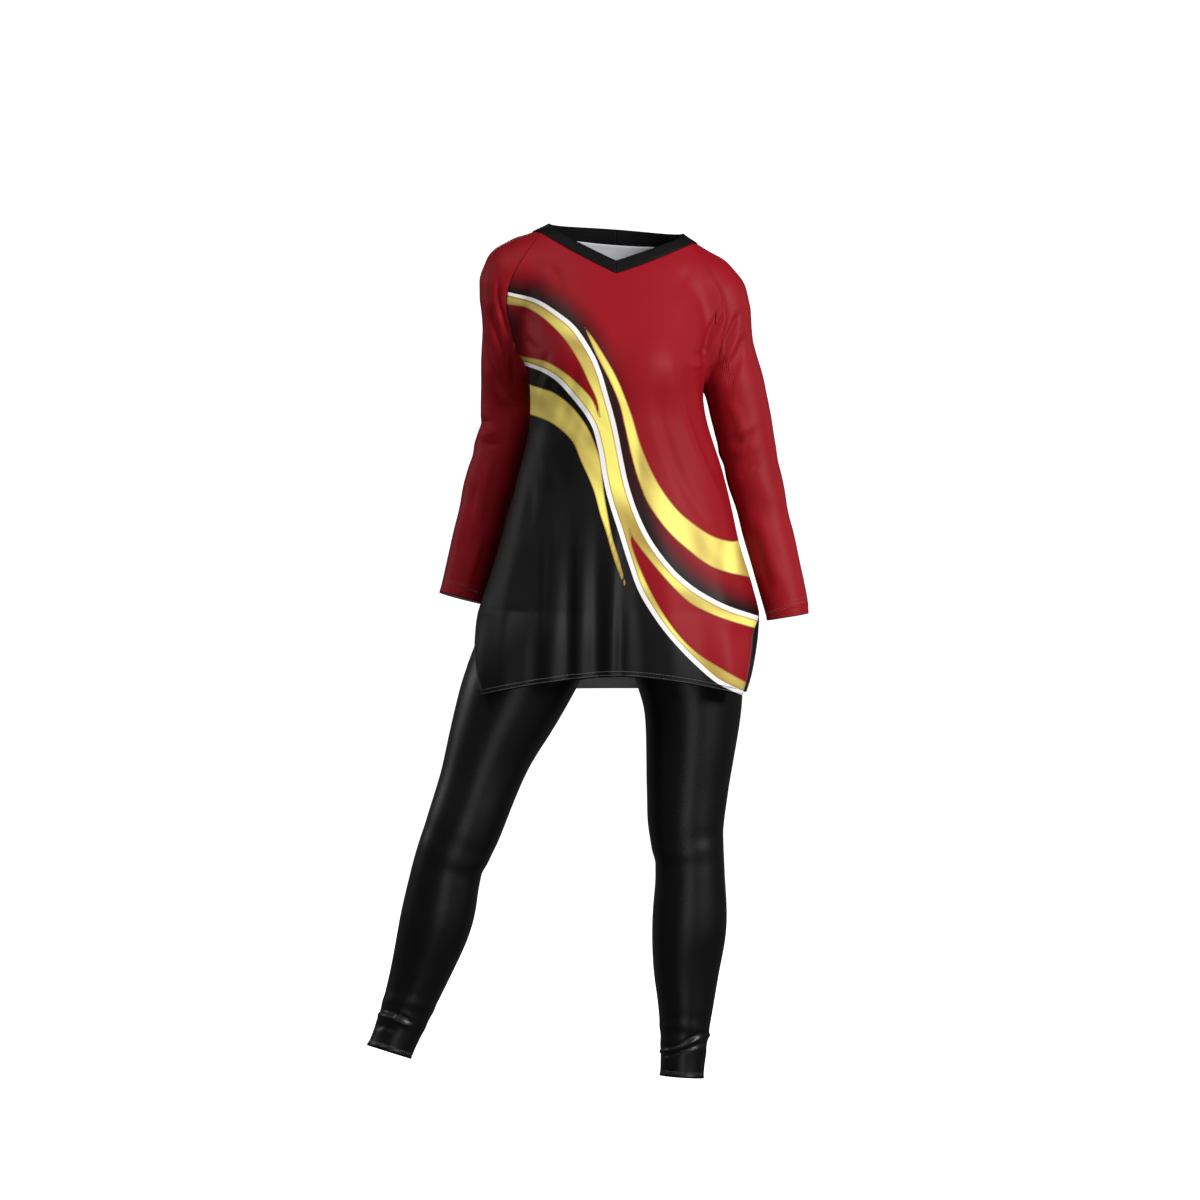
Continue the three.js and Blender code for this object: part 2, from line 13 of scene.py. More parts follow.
import bpy
import numpy as np
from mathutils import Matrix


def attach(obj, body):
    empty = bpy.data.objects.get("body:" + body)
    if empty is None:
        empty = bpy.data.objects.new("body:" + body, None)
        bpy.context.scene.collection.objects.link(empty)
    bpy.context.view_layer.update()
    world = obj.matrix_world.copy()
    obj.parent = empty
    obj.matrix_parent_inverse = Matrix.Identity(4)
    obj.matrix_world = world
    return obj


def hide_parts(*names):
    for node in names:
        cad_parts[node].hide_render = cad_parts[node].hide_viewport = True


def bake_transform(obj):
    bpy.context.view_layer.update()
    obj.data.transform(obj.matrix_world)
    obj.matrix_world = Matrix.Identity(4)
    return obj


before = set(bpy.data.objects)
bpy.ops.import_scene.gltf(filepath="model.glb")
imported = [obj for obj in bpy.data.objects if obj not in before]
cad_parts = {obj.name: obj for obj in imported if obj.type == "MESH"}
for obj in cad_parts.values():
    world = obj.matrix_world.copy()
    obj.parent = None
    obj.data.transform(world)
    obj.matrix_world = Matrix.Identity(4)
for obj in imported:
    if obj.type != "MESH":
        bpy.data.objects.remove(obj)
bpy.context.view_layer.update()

LOG = logging.getLogger("cheer_uniform")
MM = 0.001
Array = np.ndarray
Knots = Sequence[tuple[float, ...]]


class Side(Enum):
    """The wearer's left is +X, and their right is -X."""

    LEFT = 1
    RIGHT = -1

    @property
    def word(self) -> str:
        """The side's name as it stands in the names of pieces."""
        return self.name.lower()


class Face(Enum):
    """The front of the uniform faces -Y."""

    FRONT = -1
    BACK = 1

    @property
    def word(self) -> str:
        """The face's name as it stands in the names of pieces."""
        return self.name.lower()


# ---------------------------------------------------------------- curves and fields


def smooth(value: Array, start: float, end: float) -> Array:
    """Ease from 0 at start to 1 at end: 3t^2 - 2t^3 of the clamped share t.

    Args:
        value: What is eased.
        start: Where the ease begins.
        end: Where it is done.

    Returns:
        The eased share, of the same shape as value.
    """
    t = np.clip((np.asarray(value, float) - start) / (end - start), 0.0, 1.0)
    return t * t * (3.0 - 2.0 * t)


def bump(value: Array, centre: float, width: float) -> Array:
    """A bell: the exponential of minus the squared distance from the centre in widths."""
    return np.exp(-(((np.asarray(value, float) - centre) / width) ** 2))


def through(knots: Knots, at: Array) -> Array:
    """A smooth curve through rows of numbers, as a cubic Hermite with Catmull-Rom slopes.

    Args:
        knots: Rows of (key, value, ...), in rising order of key.
        at: The keys to read the curve at, held to the first and last key.

    Returns:
        The values, with one more axis than at when a row has several values.
    """
    table = np.asarray(knots, float)
    key, values = table[:, 0], table[:, 1:]
    at = np.clip(np.asarray(at, float), key[0], key[-1])
    i = np.clip(np.searchsorted(key, at, side="right") - 1, 0, len(key) - 2)
    slopes = np.gradient(values, key, axis=0)
    span = (key[i + 1] - key[i])[..., None]
    t = ((at - key[i])[..., None]) / span
    out = (
        (2 * t**3 - 3 * t**2 + 1) * values[i]
        + (t**3 - 2 * t**2 + t) * slopes[i] * span
        + (3 * t**2 - 2 * t**3) * values[i + 1]
        + (t**3 - t**2) * slopes[i + 1] * span
    )
    return out[..., 0] if values.shape[1] == 1 else out


def spline(points: Knots, count: int) -> Array:
    """A curve through points, evenly spaced by length.

    Args:
        points: The points that the curve passes through.
        count: How many points come back.

    Returns:
        An array of count points along the curve.
    """
    dense = through([(i, *p) for i, p in enumerate(points)], np.linspace(0, len(points) - 1, count * 8))
    run = np.concatenate([[0.0], np.cumsum(np.linalg.norm(np.diff(dense, axis=0), axis=1))])
    want = np.linspace(0, run[-1], count)
    return np.stack([np.interp(want, run, dense[:, k]) for k in range(dense.shape[1])], axis=-1)


def away_from(points: Array, curve: Array) -> tuple[Array, Array, Array]:
    """The distance of flat points from a polyline, the side they are on, and where along it they are.

    Args:
        points: An array of (x, z) points.
        curve: The polyline's (x, z) points.

    Returns:
        The distances, the same with a minus sign on the right of the way the curve runs, and the
        share of the curve's pieces before the nearest point.
    """
    a, d = curve[:-1], np.diff(curve, axis=0)
    best = np.full(len(points), np.inf)
    side = np.ones(len(points))
    share = np.zeros(len(points))
    for number, (start, step) in enumerate(zip(a, d)):
        rel = points - start
        t = np.clip(rel @ step / (step @ step), 0, 1)
        gap = np.linalg.norm(rel - t[:, None] * step, axis=1)
        closer = gap < best
        cross = step[0] * rel[:, 1] - step[1] * rel[:, 0]
        best = np.where(closer, gap, best)
        side = np.where(closer, np.where(cross >= 0, 1.0, -1.0), side)
        share = np.where(closer, (number + t) / len(d), share)
    return best, best * side, share


def inside(points: Array, outline: Array) -> Array:
    """How deep flat points lie inside a closed outline, in mm, negative outside.

    Args:
        points: An array of (x, z) points.
        outline: The outline's corners in order.

    Returns:
        The signed depths.
    """
    ring = np.vstack([outline, outline[:1]])
    gap, _, _ = away_from(points, ring)
    odd = np.zeros(len(points), bool)
    for (x0, z0), (x1, z1) in zip(ring[:-1], ring[1:]):
        if z0 != z1:
            crosses = (z0 > points[:, 1]) != (z1 > points[:, 1])
            odd ^= crosses & (points[:, 0] < (x1 - x0) * (points[:, 1] - z0) / (z1 - z0) + x0)
    return np.where(odd, gap, -gap)


def halve(outside: Callable[[Array], Array], low: Array, high: Array, rounds: int) -> tuple[Array, Array]:
    """Close in on where a test turns true, by halving the span between low and high.

    Args:
        outside: Tells for each value whether it lies beyond the place.
        low: Values on the near side.
        high: Values on the far side.
        rounds: How many times the span is halved.

    Returns:
        The last values on the near and on the far side.
    """
    for _ in range(rounds):
        middle = (low + high) / 2
        out = outside(middle)
        low, high = np.where(out, low, middle), np.where(out, middle, high)
    return low, high


@dataclass(frozen=True)
class Fold:
    """A soft ridge along a line of (x, z) points seen from the front, or a groove if its height is
    below zero. It rises over the first part of the line and dies away over the last."""

    line: Knots
    width: float
    height: float
    rise: float = 0.25
    fall: float = 0.25

    def lift(self, x: Array, z: Array) -> Array:
        """The fold's height at points: a bell across the line, eased at both ends of it.

        Args:
            x: Distances from the middle, positive to the wearer's left.
            z: Heights.

        Returns:
            Heights in mm.
        """
        out = np.zeros(np.shape(x))
        corners = np.asarray(self.line, float)
        low, high = corners.min(axis=0) - 3 * self.width, corners.max(axis=0) + 3 * self.width
        near = (x > low[0]) & (x < high[0]) & (z > low[1]) & (z < high[1])
        flat = np.stack([x[near], z[near]], axis=-1)
        if len(flat):
            gap, _, share = away_from(flat, spline(self.line, 14))
            ends = smooth(share, -0.01, self.rise) * (1 - smooth(share, 1 - self.fall, 1.01))
            out[near] = self.height * np.exp(-((gap / self.width) ** 2)) * ends
        return out


def lifted(folds: Sequence[Fold], x: Array, z: Array) -> Array:
    """The sum of several folds at points."""
    return sum((fold.lift(x, z) for fold in folds), np.zeros(np.shape(x)))


# ---------------------------------------------------------------- the wearer's form


@dataclass(frozen=True)
class Limb:
    """A limb of round section along a smooth line of (x, y, z, radius) stations."""

    stations: Knots

    def at(self, t: Array) -> tuple[Array, Array]:
        """Centre points and radii at shares t of the limb, from the body end at 0."""
        last = len(self.stations) - 1
        row = through([(i, *s) for i, s in enumerate(self.stations)], np.asarray(t, float) * last)
        return row[..., :3], row[..., 3]

    def axes(self, t: Array) -> tuple[Array, Array, Array]:
        """Unit vectors along the limb, towards its side and towards its back.

        Args:
            t: Shares of the limb.

        Returns:
            The direction along it, and two directions square to it.
        """
        step = 1e-3
        ahead, _ = self.at(np.clip(t + step, 0, 1))
        behind, _ = self.at(np.clip(t - step, 0, 1))
        along = ahead - behind
        along /= np.linalg.norm(along, axis=-1, keepdims=True)
        side = np.cross(np.array([0.0, 1.0, 0.0]), along)
        side /= np.linalg.norm(side, axis=-1, keepdims=True)
        return along, side, np.cross(along, side)

    def depth(self, points: Array) -> Array:
        """How far points stand off the limb's surface, negative inside it."""
        centres, radii = self.at(np.linspace(0, 1, 29))
        best = np.full(points.shape[:-1], np.inf)
        for c0, c1, r0, r1 in zip(centres[:-1], centres[1:], radii[:-1], radii[1:]):
            step = c1 - c0
            t = np.clip(((points - c0) @ step) / (step @ step), 0, 1)
            gap = np.linalg.norm(points - (c0 + t[..., None] * step), axis=-1) - (r0 + t * (r1 - r0))
            best = np.minimum(best, gap)
        return best


@dataclass(frozen=True)
class Trunk:
    """A body of squared ellipses, as rows of height, half width, front depth and back depth."""

    rows: Knots
    power: float = 2.25

    def measure(self, z: Array, face: Face) -> tuple[Array, Array]:
        """Half width and depth at heights, on one face."""
        row = through(self.rows, z)
        return row[..., 0], row[..., 1 if face is Face.FRONT else 2]

    def depth(self, points: Array) -> Array:
        """About how far points stand off the trunk's surface, negative inside it."""
        row = through(self.rows, points[..., 2])
        deep = np.where(points[..., 1] < 0, row[..., 1], row[..., 2])
        across, away = np.abs(points[..., 0] / row[..., 0]), np.abs(points[..., 1] / deep)
        reach = across**self.power + away**self.power
        return (reach ** (1 / self.power) - 1) * np.minimum(row[..., 0], deep)


def joined(first: Array, second: Array, round_off: float) -> Array:
    """The union of two depths with a fillet: the polynomial smooth minimum of width round_off."""
    h = np.clip(0.5 + 0.5 * (second - first) / round_off, 0, 1)
    return second * (1 - h) + first * h - round_off * h * (1 - h)


def grid_normals(points: Array) -> Array:
    """Unit normals of a grid of points, from the cross product of its two differences."""
    normal = np.cross(np.gradient(points, axis=1), np.gradient(points, axis=0))
    size = np.linalg.norm(normal, axis=-1, keepdims=True)
    return normal / np.maximum(size, 1e-9)


BODICE = Trunk(
    (
        (-372, 204, 127, 142),
        (-313, 219, 129, 143),
        (-255, 224, 130, 142),
        (-221, 222, 129, 141),
        (-186, 212, 128, 139),
        (-123, 192, 126, 130),
        (-60, 176, 121, 116),
        (0, 161, 119, 106),
        (75, 141, 127, 104),
        (142, 137, 134, 110),
        (200, 146, 124, 116),
        (260, 150, 100, 114),
        (300, 146, 80, 106),
        (330, 136, 66, 98),
        (352, 127, 54, 94),
        (370, 118, 44, 88),
        (388, 103, 36, 82),
        (404, 97, 32, 78),
        (430, 94, 30, 76),
    )
)
HIPS = Trunk(
    (
        (-262, 40, 14, 18),
        (-252, 110, 48, 60),
        (-235, 150, 78, 96),
        (-210, 166, 92, 113),
        (-160, 167, 97, 118),
        (-110, 156, 97, 112),
        (-60, 141, 94, 102),
        (0, 127, 91, 95),
        (30, 124, 90, 94),
    )
)
ARMS = {
    Side.LEFT: Limb(
        (
            (70, 14, 322, 50),
            (152, 10, 300, 51),
            (168, 10, 215, 50),
            (191, 10, 125, 49),
            (208, 12, 40, 45),
            (229, 12, -48, 41),
            (249, 8, -128, 38.5),
            (268, -2, -206, 35.5),
            (272, -3, -229, 32),
        )
    ),
    Side.RIGHT: Limb(
        (
            (-70, 14, 322, 50),
            (-157, 12, 300, 53),
            (-164, 24, 215, 48),
            (-174, 58, 125, 42),
            (-176, 66, 68, 41.5),
            (-195, 70, 0, 42),
            (-228, 70, -128, 38.5),
            (-247, 66, -200, 36),
        )
    ),
}
LEGS = {
    Side.LEFT: Limb(
        (
            (74, 2, -120, 76),
            (92, 2, -200, 88),
            (109, 2, -288, 88),
            (122, 2, -368, 77.5),
            (114, 0, -496, 65),
            (111, -2, -560, 60),
            (117, -2, -624, 53.5),
            (116, 6, -710, 60),
            (111, 10, -784, 53),
            (110, 8, -848, 43),
            (107, 6, -912, 36.5),
            (104, 4, -957, 34),
        )
    ),
    Side.RIGHT: Limb(
        (
            (-74, 2, -120, 76),
            (-97, 2, -200, 88),
            (-134, 1, -288, 89),
            (-168, 0, -362, 82),
            (-197.5, -4, -432, 69.5),
            (-219, -8, -496, 62),
            (-243, -12, -565, 60),
            (-266, -10, -624, 54),
            (-281.5, -2, -700, 58.5),
            (-302.5, 4, -770, 50),
            (-326.5, 6, -838, 41),
            (-351.5, 4, -900, 37.5),
            (-359.5, 2, -918, 38),
        )
    ),
}

DRIFT = (  # how far the bodice's middle stands to the wearer's left, by height
    (-380, -3), (-353, -1), (-283, 1), (-221, 4), (-164, 6), (-112, 6), (-30, 8), (52, 6), (104, 2),
    (146, 0), (200, 0),
)  # fmt: skip
SHOULDER_DROP = -0.075  # the shoulders lean down to the wearer's left
LEAN_FROM, LEAN_TO = 40.0, 250.0
ARMPIT = 142.0
SLIT_TOP = -221.0
CROTCH = -262.0
NECK_HALF_WIDTH = 121.0
CLOTH = 0.8  # thickness of one layer of the knit
RAGLAN = (  # how far out the raglan seam stands, by height
    (100, 156), (108, 146), (142, 140), (165, 150), (212, 166), (256, 172), (298, 161), (335, 140),
    (366, 121), (430, 121),
)  # fmt: skip


def lean(points: Array) -> Array:
    """Lower or raise points by the shoulders' slope times their distance from the middle.

    Args:
        points: Points above or below the waist, which only move above it.

    Returns:
        The moved points, in a new array.
    """
    out = points.copy()
    rise = smooth(points[..., 2], LEAN_FROM, LEAN_TO)
    out[..., 2] += SHOULDER_DROP * points[..., 0] * rise
    return out


def seam_x(z: Array) -> Array:
    """How far out the raglan seam stands at heights, seen from the front."""
    return through(RAGLAN, z)


class TunicForm:
    """The tunic's outside before any fold: the bodice joined to both arms with a fillet."""

    fillet = 22.0

    def depth(self, points: Array, own: Limb | None = None) -> Array:
        """How far points stand off the tunic, negative inside.

        Below the armpits the bodice and the arms are parted, and only one of them counts.

        Args:
            points: The points.
            own: The arm that counts below its armpit, or nothing for the bodice.

        Returns:
            The depths.
        """
        trunk = BODICE.depth(points)
        together = smooth(points[..., 2], ARMPIT - 26, ARMPIT + 16)
        out = trunk
        for arm in ARMS.values() if own is None else (own,):
            out = joined(out, arm.depth(points), self.fillet)
        apart = trunk if own is None else own.depth(points)
        return out * together + apart * (1 - together)

    def bodice(self, psi: Array, z: Array, face: Face) -> Array:
        """Points on the bodice by the turn psi from its middle (minus 90 to 90 degrees) and height.

        The base point is (a sin psi, d (1 - |sin psi|^n)^(1/n), z) for half width a and depth d.
        Where an arm joins, it is pushed out along its own ray until the joined depth is zero.

        Args:
            psi: Turns in radians, positive to the wearer's left.
            z: Heights in mm.
            face: Front or back.

        Returns:
            The points.
        """
        wide, deep = BODICE.measure(z, face)
        s = np.sin(psi)
        bow = np.maximum(0.0, 1 - np.abs(s) ** BODICE.power) ** (1 / BODICE.power)
        base = np.stack([wide * s, face.value * deep * bow, z], axis=-1)
        near_arm = (z > ARMPIT - 30) & (np.abs(base[..., 0]) > 70)
        if near_arm.any():
            hub = np.array([0.0, 10.0, 0.0])
            ray = base[near_arm] * np.array([1.0, 1.0, 0.0])
            foot = base[near_arm] - ray + hub
            ray = ray - hub
            low, high = np.ones(len(ray)), np.full(len(ray), 2.3)
            found = np.zeros(len(ray), bool)
            for reach in np.linspace(1.005, 2.3, 40):
                out = self.depth(foot + ray * reach) > 0
                high = np.where(out & ~found, reach, high)
                low = np.where(out | found, low, reach)
                found |= out
            low, high = halve(lambda r: self.depth(foot + ray * r[:, None]) > 0, low, high, 10)
            base[near_arm] = foot + ray * ((low + high) / 2)[:, None]
        base[..., 0] += through(DRIFT, base[..., 2])
        return base

    def seam_turn(self, z: Array, face: Face, side: Side) -> Array:
        """The turn psi where the bodice meets its side seam, or its raglan seam above the armpit.

        Args:
            z: Heights in mm.
            face: Front or back.
            side: The wearer's side.

        Returns:
            The turns, as positive numbers.
        """
        low, high = np.full(z.shape, 0.35), np.full(z.shape, math.pi / 2)
        goal = seam_x(z)

        def past(turn: Array) -> Array:
            return np.abs(self.bodice(side.value * turn, z, face)[..., 0]) >= goal

        low, _ = halve(past, low, high, 16)
        above = smooth(z, ARMPIT - 34, ARMPIT - 10)
        spare = 0.025 * (1 - smooth(z, 190, 220)) if face is Face.BACK else 0.02 * (1 - smooth(z, 158, 178))
        return math.pi / 2 + (low - spare - math.pi / 2) * above


FORM = TunicForm()


def neck_height(x: Array, face: Face) -> Array:
    """The height of the neckband's seam: a quadratic curve from the middle out to each shoulder."""
    t = np.clip(np.abs(x) / NECK_HALF_WIDTH, 0, 1)
    if face is Face.FRONT:
        return 309 + 61 * (0.8 * t + 0.2 * t**2)
    return 366 + 4 * t**2


# ---------------------------------------------------------------- the print


@dataclass(frozen=True)
class Print:
    """The swoosh print of the tunic, drawn flat as seen from the front, as (x, z) outlines."""

    upper_stripe: Knots = (
        (-176, 284), (-166, 281), (-126, 270), (-90, 247), (-65, 225), (-40, 187), (-27, 157),
        (-16, 120), (-3, 72), (8.5, 14), (17.5, -25), (33, -70), (55, -113), (87, -155), (117, -182),
        (147, -201), (178, -216), (217, -229), (244, -237),
    )  # fmt: skip
    lower_stripe: Knots = (
        (-160, 176), (-140, 170), (-113, 160), (-89, 144), (-64.5, 117), (-46, 93), (-33, 69),
        (-23.5, 32), (-16.5, -10), (-7, -49), (8, -95), (23, -143), (41, -191), (72, -240), (102, -276),
        (132, -306), (162, -331), (199, -349), (228, -361),
    )  # fmt: skip
    upper_inset: Knots = (
        (-184, 267), (-166, 264), (-140, 259), (-110, 239), (-80, 208), (-59, 175), (-43, 141),
        (-31, 114), (-26, 87), (-37, 114), (-55, 135), (-80, 157), (-110, 175), (-141, 182), (-176, 190),
    )  # fmt: skip
    lower_inset: Knots = (
        (21, -89), (29, -107), (56, -143), (87, -179), (117, -207), (147, -223), (178, -235),
        (215, -246), (244, -253), (236, -348), (205, -332), (144, -297), (111, -270), (84, -237),
        (60, -198), (41, -158), (26, -119),
    )  # fmt: skip
    spear: Knots = (
        (-160, 146), (-119, 133), (-97, 125), (-70, 104), (-47, 74), (-33, 44), (-25, 19), (-21, -13),
        (-17, -44), (-6, -101), (5, -138), (15, -176), (18, -190), (8, -168), (-5, -133), (-16, -95),
        (-25, -68), (-36, -28), (-55, 16), (-70, 49), (-100, 76), (-134, 90), (-160, 95),
    )  # fmt: skip
    swoosh: Knots = (
        (-51, 231), (-36, 212), (-17, 182), (3, 146), (24, 93), (41, 38), (63, -11), (93, -55),
        (123, -82), (153, -101), (180, -109), (195, -108), (244, -100), (252, -179), (209, -166),
        (180, -160), (146, -147), (109, -119), (79, -90), (52, -52), (36, -14), (24, 27), (14, 71),
        (5, 108), (-11, 146), (-32, 187),
    )  # fmt: skip
    band_tone: Knots = (
        (-300, 0.5), (-265, 0.4), (-225, 0.75), (-202, 0.3), (-180, 0.45), (-158, 0.55), (-136, 0.68),
        (-114, 0.82), (-70, 0.95), (-25, 1.0), (19, 0.9), (41, 0.72), (63, 0.4), (85, 0.28), (108, 0.25),
        (130, 0.45), (152, 0.7), (174, 0.95), (196, 0.5), (218, 0.55), (240, 0.9), (263, 0.8), (290, 0.4),
        (330, 0.3), (365, 0.3),
    )  # fmt: skip
    swoosh_tone: Knots = (
        (-50, 0.45), (-19, 0.6), (-5, 0.8), (6, 0.92), (19, 0.9), (32, 0.8), (40, 0.4), (49, 0.42),
        (62, 0.65), (76, 0.9), (97, 1.0), (115, 0.75), (133, 0.5), (150, 0.62), (165, 0.55), (182, 0.95),
        (199, 0.35), (225, 0.3),
    )  # fmt: skip
    spear_tone: Knots = (
        (-140, 0.8), (-110, 0.5), (-93, 0.6), (-70, 0.55), (-48, 0.4), (-25, 0.55), (-3, 0.65), (19, 0.75),
        (41, 0.95), (63, 1.0), (85, 1.0), (108, 0.75), (130, 0.35), (152, 0.2), (200, 0.25),
    )  # fmt: skip
    stripe_half_width: float = 3.7
    shadow_reach: float = 50.0
    # the side shade field is not print: it is painted shade by the wearer's right armhole, where the cloth
    # turns from the light
    names: ClassVar[tuple[str, ...]] = (
        "shade", "painted_side_shade", "above_upper", "above_lower", "inset", "spear", "swoosh", "stripe_width", "tone",
    )  # fmt: skip
    view: tuple[float, float, float] = (-25.0, -202.0, 7000.0)  # where it is drawn from, and how far off

    def corners(self, outline: Knots, tips: Sequence[int]) -> Array:
        """A closed outline as a smooth curve between its sharp tips.

        Args:
            outline: The outline's points.
            tips: The indices of its sharp points, the first of them 0.

        Returns:
            The outline's corners, close together.
        """
        marks = [*tips, len(outline)]
        ring = [*outline, outline[0]]
        runs = [spline(ring[a : b + 1], 12 * (b - a) + 2)[:-1] for a, b in zip(marks[:-1], marks[1:])]
        return np.vstack(runs)

    def fields(self, points: Array) -> dict[str, Array]:
        """How deep each point lies in each printed colour, in mm, how dark its printed shadow is, and how
        much painted shade falls on the side by the wearer's right armhole.

        The outlines stand on the plane y = 0, and each point is carried onto it along the line to
        where the print is drawn from.

        Args:
            points: Points of the cloth.

        Returns:
            One array of each name, with a number for each point.
        """
        across, up, away = self.view
        grow = away / (away - np.abs(points[:, 1]))
        x = across + (points[:, 0] - across) * grow
        z = up + (points[:, 2] - up) * grow
        flat = np.stack([x, z], axis=-1)
        up_gap, up_side, _ = away_from(flat, spline(self.upper_stripe, 150))
        _, low_side, _ = away_from(flat, spline(self.lower_stripe, 150))
        taper = 0.62 + 0.38 * smooth(x, -190, -60)
        swoosh = inside(flat, self.corners(self.swoosh, (0, 11, 12, 13)))
        far = (1 - smooth(up_gap, 0.0, self.shadow_reach)) * smooth(z, 40, 170)
        between = self._between(flat)
        deep = 1 - smooth(up_gap, 3.0, 46.0) * smooth(x, 20, 90) * 0.9
        shade = np.maximum(far, np.where(between, np.where(x < 40, 0.93, deep), 0.0))
        insets = np.maximum(
            inside(flat, self.corners(self.upper_inset, (0, 8, 14))),
            inside(flat, self.corners(self.lower_inset, (0, 8, 9))),
        )
        spear = inside(flat, self.corners(self.spear, (0, 12, 22)))
        tone = np.where(spear > -4, through(self.spear_tone, -z), through(self.band_tone, -z))
        tone = np.where(swoosh > -4, through(self.swoosh_tone, x), tone)
        return {
            "shade": np.where(up_side > 0, shade, 0.0),
            # painted shade: black over the side of the bodice by the wearer's right armhole, where the cloth
            # turns away from the light
            "painted_side_shade": 0.85 * (1 - smooth(x, -168, -132)) * smooth(z, 60, 110) * (1 - smooth(z, 240, 290)),
            "above_upper": up_side,
            "above_lower": low_side,
            "inset": insets,
            "spear": spear,
            "swoosh": swoosh,
            "stripe_width": self.stripe_half_width * taper,
            "tone": tone,
        }

    def _between(self, flat: Array) -> Array:
        """Whether points lie between the upper stripe and the lower edge of the swoosh."""
        edge = spline([self.swoosh[0], *reversed(self.swoosh[13:])], 150)
        _, side, _ = away_from(flat, edge)
        return (side < 0) & (flat[:, 1] < 232)


# ---------------------------------------------------------------- meshes


def keep_piece(
    name: str,
    points: Array,
    faces: Array,
    material: bpy.types.Material,
    body: str | None,
    uv: Array | None = None,
    fields: dict[str, Array] | None = None,
) -> bpy.types.Object:
    """Make an object from points in mm and put it on a body.

    Args:
        name: The piece's name.
        points: Its points in mm.
        faces: Rows of four point numbers.
        material: Its finish.
        body: The body that it rides on, or nothing to leave it unattached.
        uv: Flat cloth coordinates of the points, in mm.
        fields: Numbers of each point, kept as attributes.

    Returns:
        The object.
    """
    mesh = bpy.data.meshes.new(name)
    mesh.from_pydata((points * MM).tolist(), [], faces.tolist())
    mesh.polygons.foreach_set("use_smooth", np.ones(len(mesh.polygons), bool))
    if uv is not None:
        layer = mesh.uv_layers.new(name="cloth")
        loops = np.empty(len(mesh.loops), np.int32)
        mesh.loops.foreach_get("vertex_index", loops)
        layer.data.foreach_set("uv", (uv[loops] * MM).astype(np.float32).ravel())
    for key, values in (fields or {}).items():
        mesh.attributes.new(key, "FLOAT", "POINT").data.foreach_set("value", values.astype(np.float32))
    mesh.materials.append(material)
    piece = bpy.data.objects.new(name, mesh)
    bpy.context.scene.collection.objects.link(piece)
    if body:
        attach(piece, body)
    LOG.info("%s: %d points on %s", name, len(points), body or "two bodies")
    return piece


def grid_faces(rows: int, columns: int, closed: bool = False) -> Array:
    """The quads of a grid of points, with its last column joined to its first where closed.

    Args:
        rows: How many rows of points.
        columns: How many points in a row.
        closed: Whether the rows are rings.

    Returns:
        Rows of four point numbers.
    """
    count = columns if closed else columns - 1
    r, c = np.meshgrid(np.arange(rows - 1), np.arange(count), indexing="ij")
    n = (c + 1) % columns
    quads = [r * columns + c, r * columns + n, (r + 1) * columns + n, (r + 1) * columns + c]
    return np.stack(quads, axis=-1).reshape(-1, 4)


def cloth_uv(points: Array) -> Array:
    """Flat coordinates of a cloth grid: the run of each row from its middle, and of the middle column.

    Args:
        points: The grid of points.

    Returns:
        One (across, along) pair for each point.
    """
    middle = points.shape[1] // 2
    run = np.cumsum(np.linalg.norm(np.diff(points, axis=1, prepend=points[:, :1]), axis=-1), axis=1)
    across = run - run[:, middle : middle + 1]
    along = np.cumsum(np.linalg.norm(np.diff(points[:, middle], axis=0, prepend=points[:1, middle]), axis=-1))
    return np.stack([across, np.broadcast_to(along[:, None], across.shape)], axis=-1)


def thicken(piece: bpy.types.Object, reverse: bpy.types.Material, thickness: float = CLOTH) -> None:
    """Give a sheet its thickness inwards, with the cloth's reverse on its inner side.

    Args:
        piece: A sheet whose faces point outwards.
        reverse: The finish of its inner side.
        thickness: The cloth's thickness in mm.
    """
    piece.data.materials.append(reverse)
    solid = piece.modifiers.new("cloth_thickness", "SOLIDIFY")
    solid.thickness = thickness * MM
    solid.offset = -1
    solid.material_offset = 1
    solid.use_even_offset = False


def stitch_run(
    path: Array, normal: Array, length: float = 2.6, gap: float = 1.0, width: float = 0.55
) -> tuple[Array, Array]:
    """Stitches along a path: each is a low ridge, a rounded cross of two rings and two ends.

    Args:
        path: Points of the stitch line, on the cloth.
        normal: The cloth's normals there.
        length: The length of a stitch.
        gap: The gap to the next one.
        width: The thread's half width.

    Returns:
        Points and quads of all the stitches.
    """
    run = np.concatenate([[0.0], np.cumsum(np.linalg.norm(np.diff(path, axis=0), axis=1))])
    count = max(1, int(run[-1] // (length + gap)))
    starts = (np.arange(count) + 0.5) * run[-1] / count - length / 2
    at = starts[:, None] + np.array([0.0, 0.3, 0.7, 1.0]) * length
    centre = np.stack([np.interp(at, run, path[:, k]) for k in range(3)], axis=-1)
    up = np.stack([np.interp(at, run, normal[:, k]) for k in range(3)], axis=-1)
    along = centre[:, -1:] - centre[:, :1]
    across = np.cross(up, along)
    across /= np.maximum(np.linalg.norm(across, axis=-1, keepdims=True), 1e-9)
    grow = np.array([0.35, 1.0, 1.0, 0.35])[None, :, None]
    turns = np.linspace(0, 2 * math.pi, 7)[:-1]
    ring = [
        centre + (across * math.cos(a) + up * (0.75 * math.sin(a) + 0.35)) * width * grow for a in turns
    ]
    points = np.stack(ring, axis=2)  # stitch, station, turn, xyz
    stations, around = points.shape[1], points.shape[2]
    per = stations * around
    one = grid_faces(stations, around, closed=True)
    ends = np.array([[3, 2, 1, 0], [5, 4, 3, 0], [18, 19, 20, 21], [18, 21, 22, 23]])
    one = np.vstack([one, ends])
    faces = (one[None] + (np.arange(count) * per)[:, None, None]).reshape(-1, 4)
    return points.reshape(-1, 3), faces


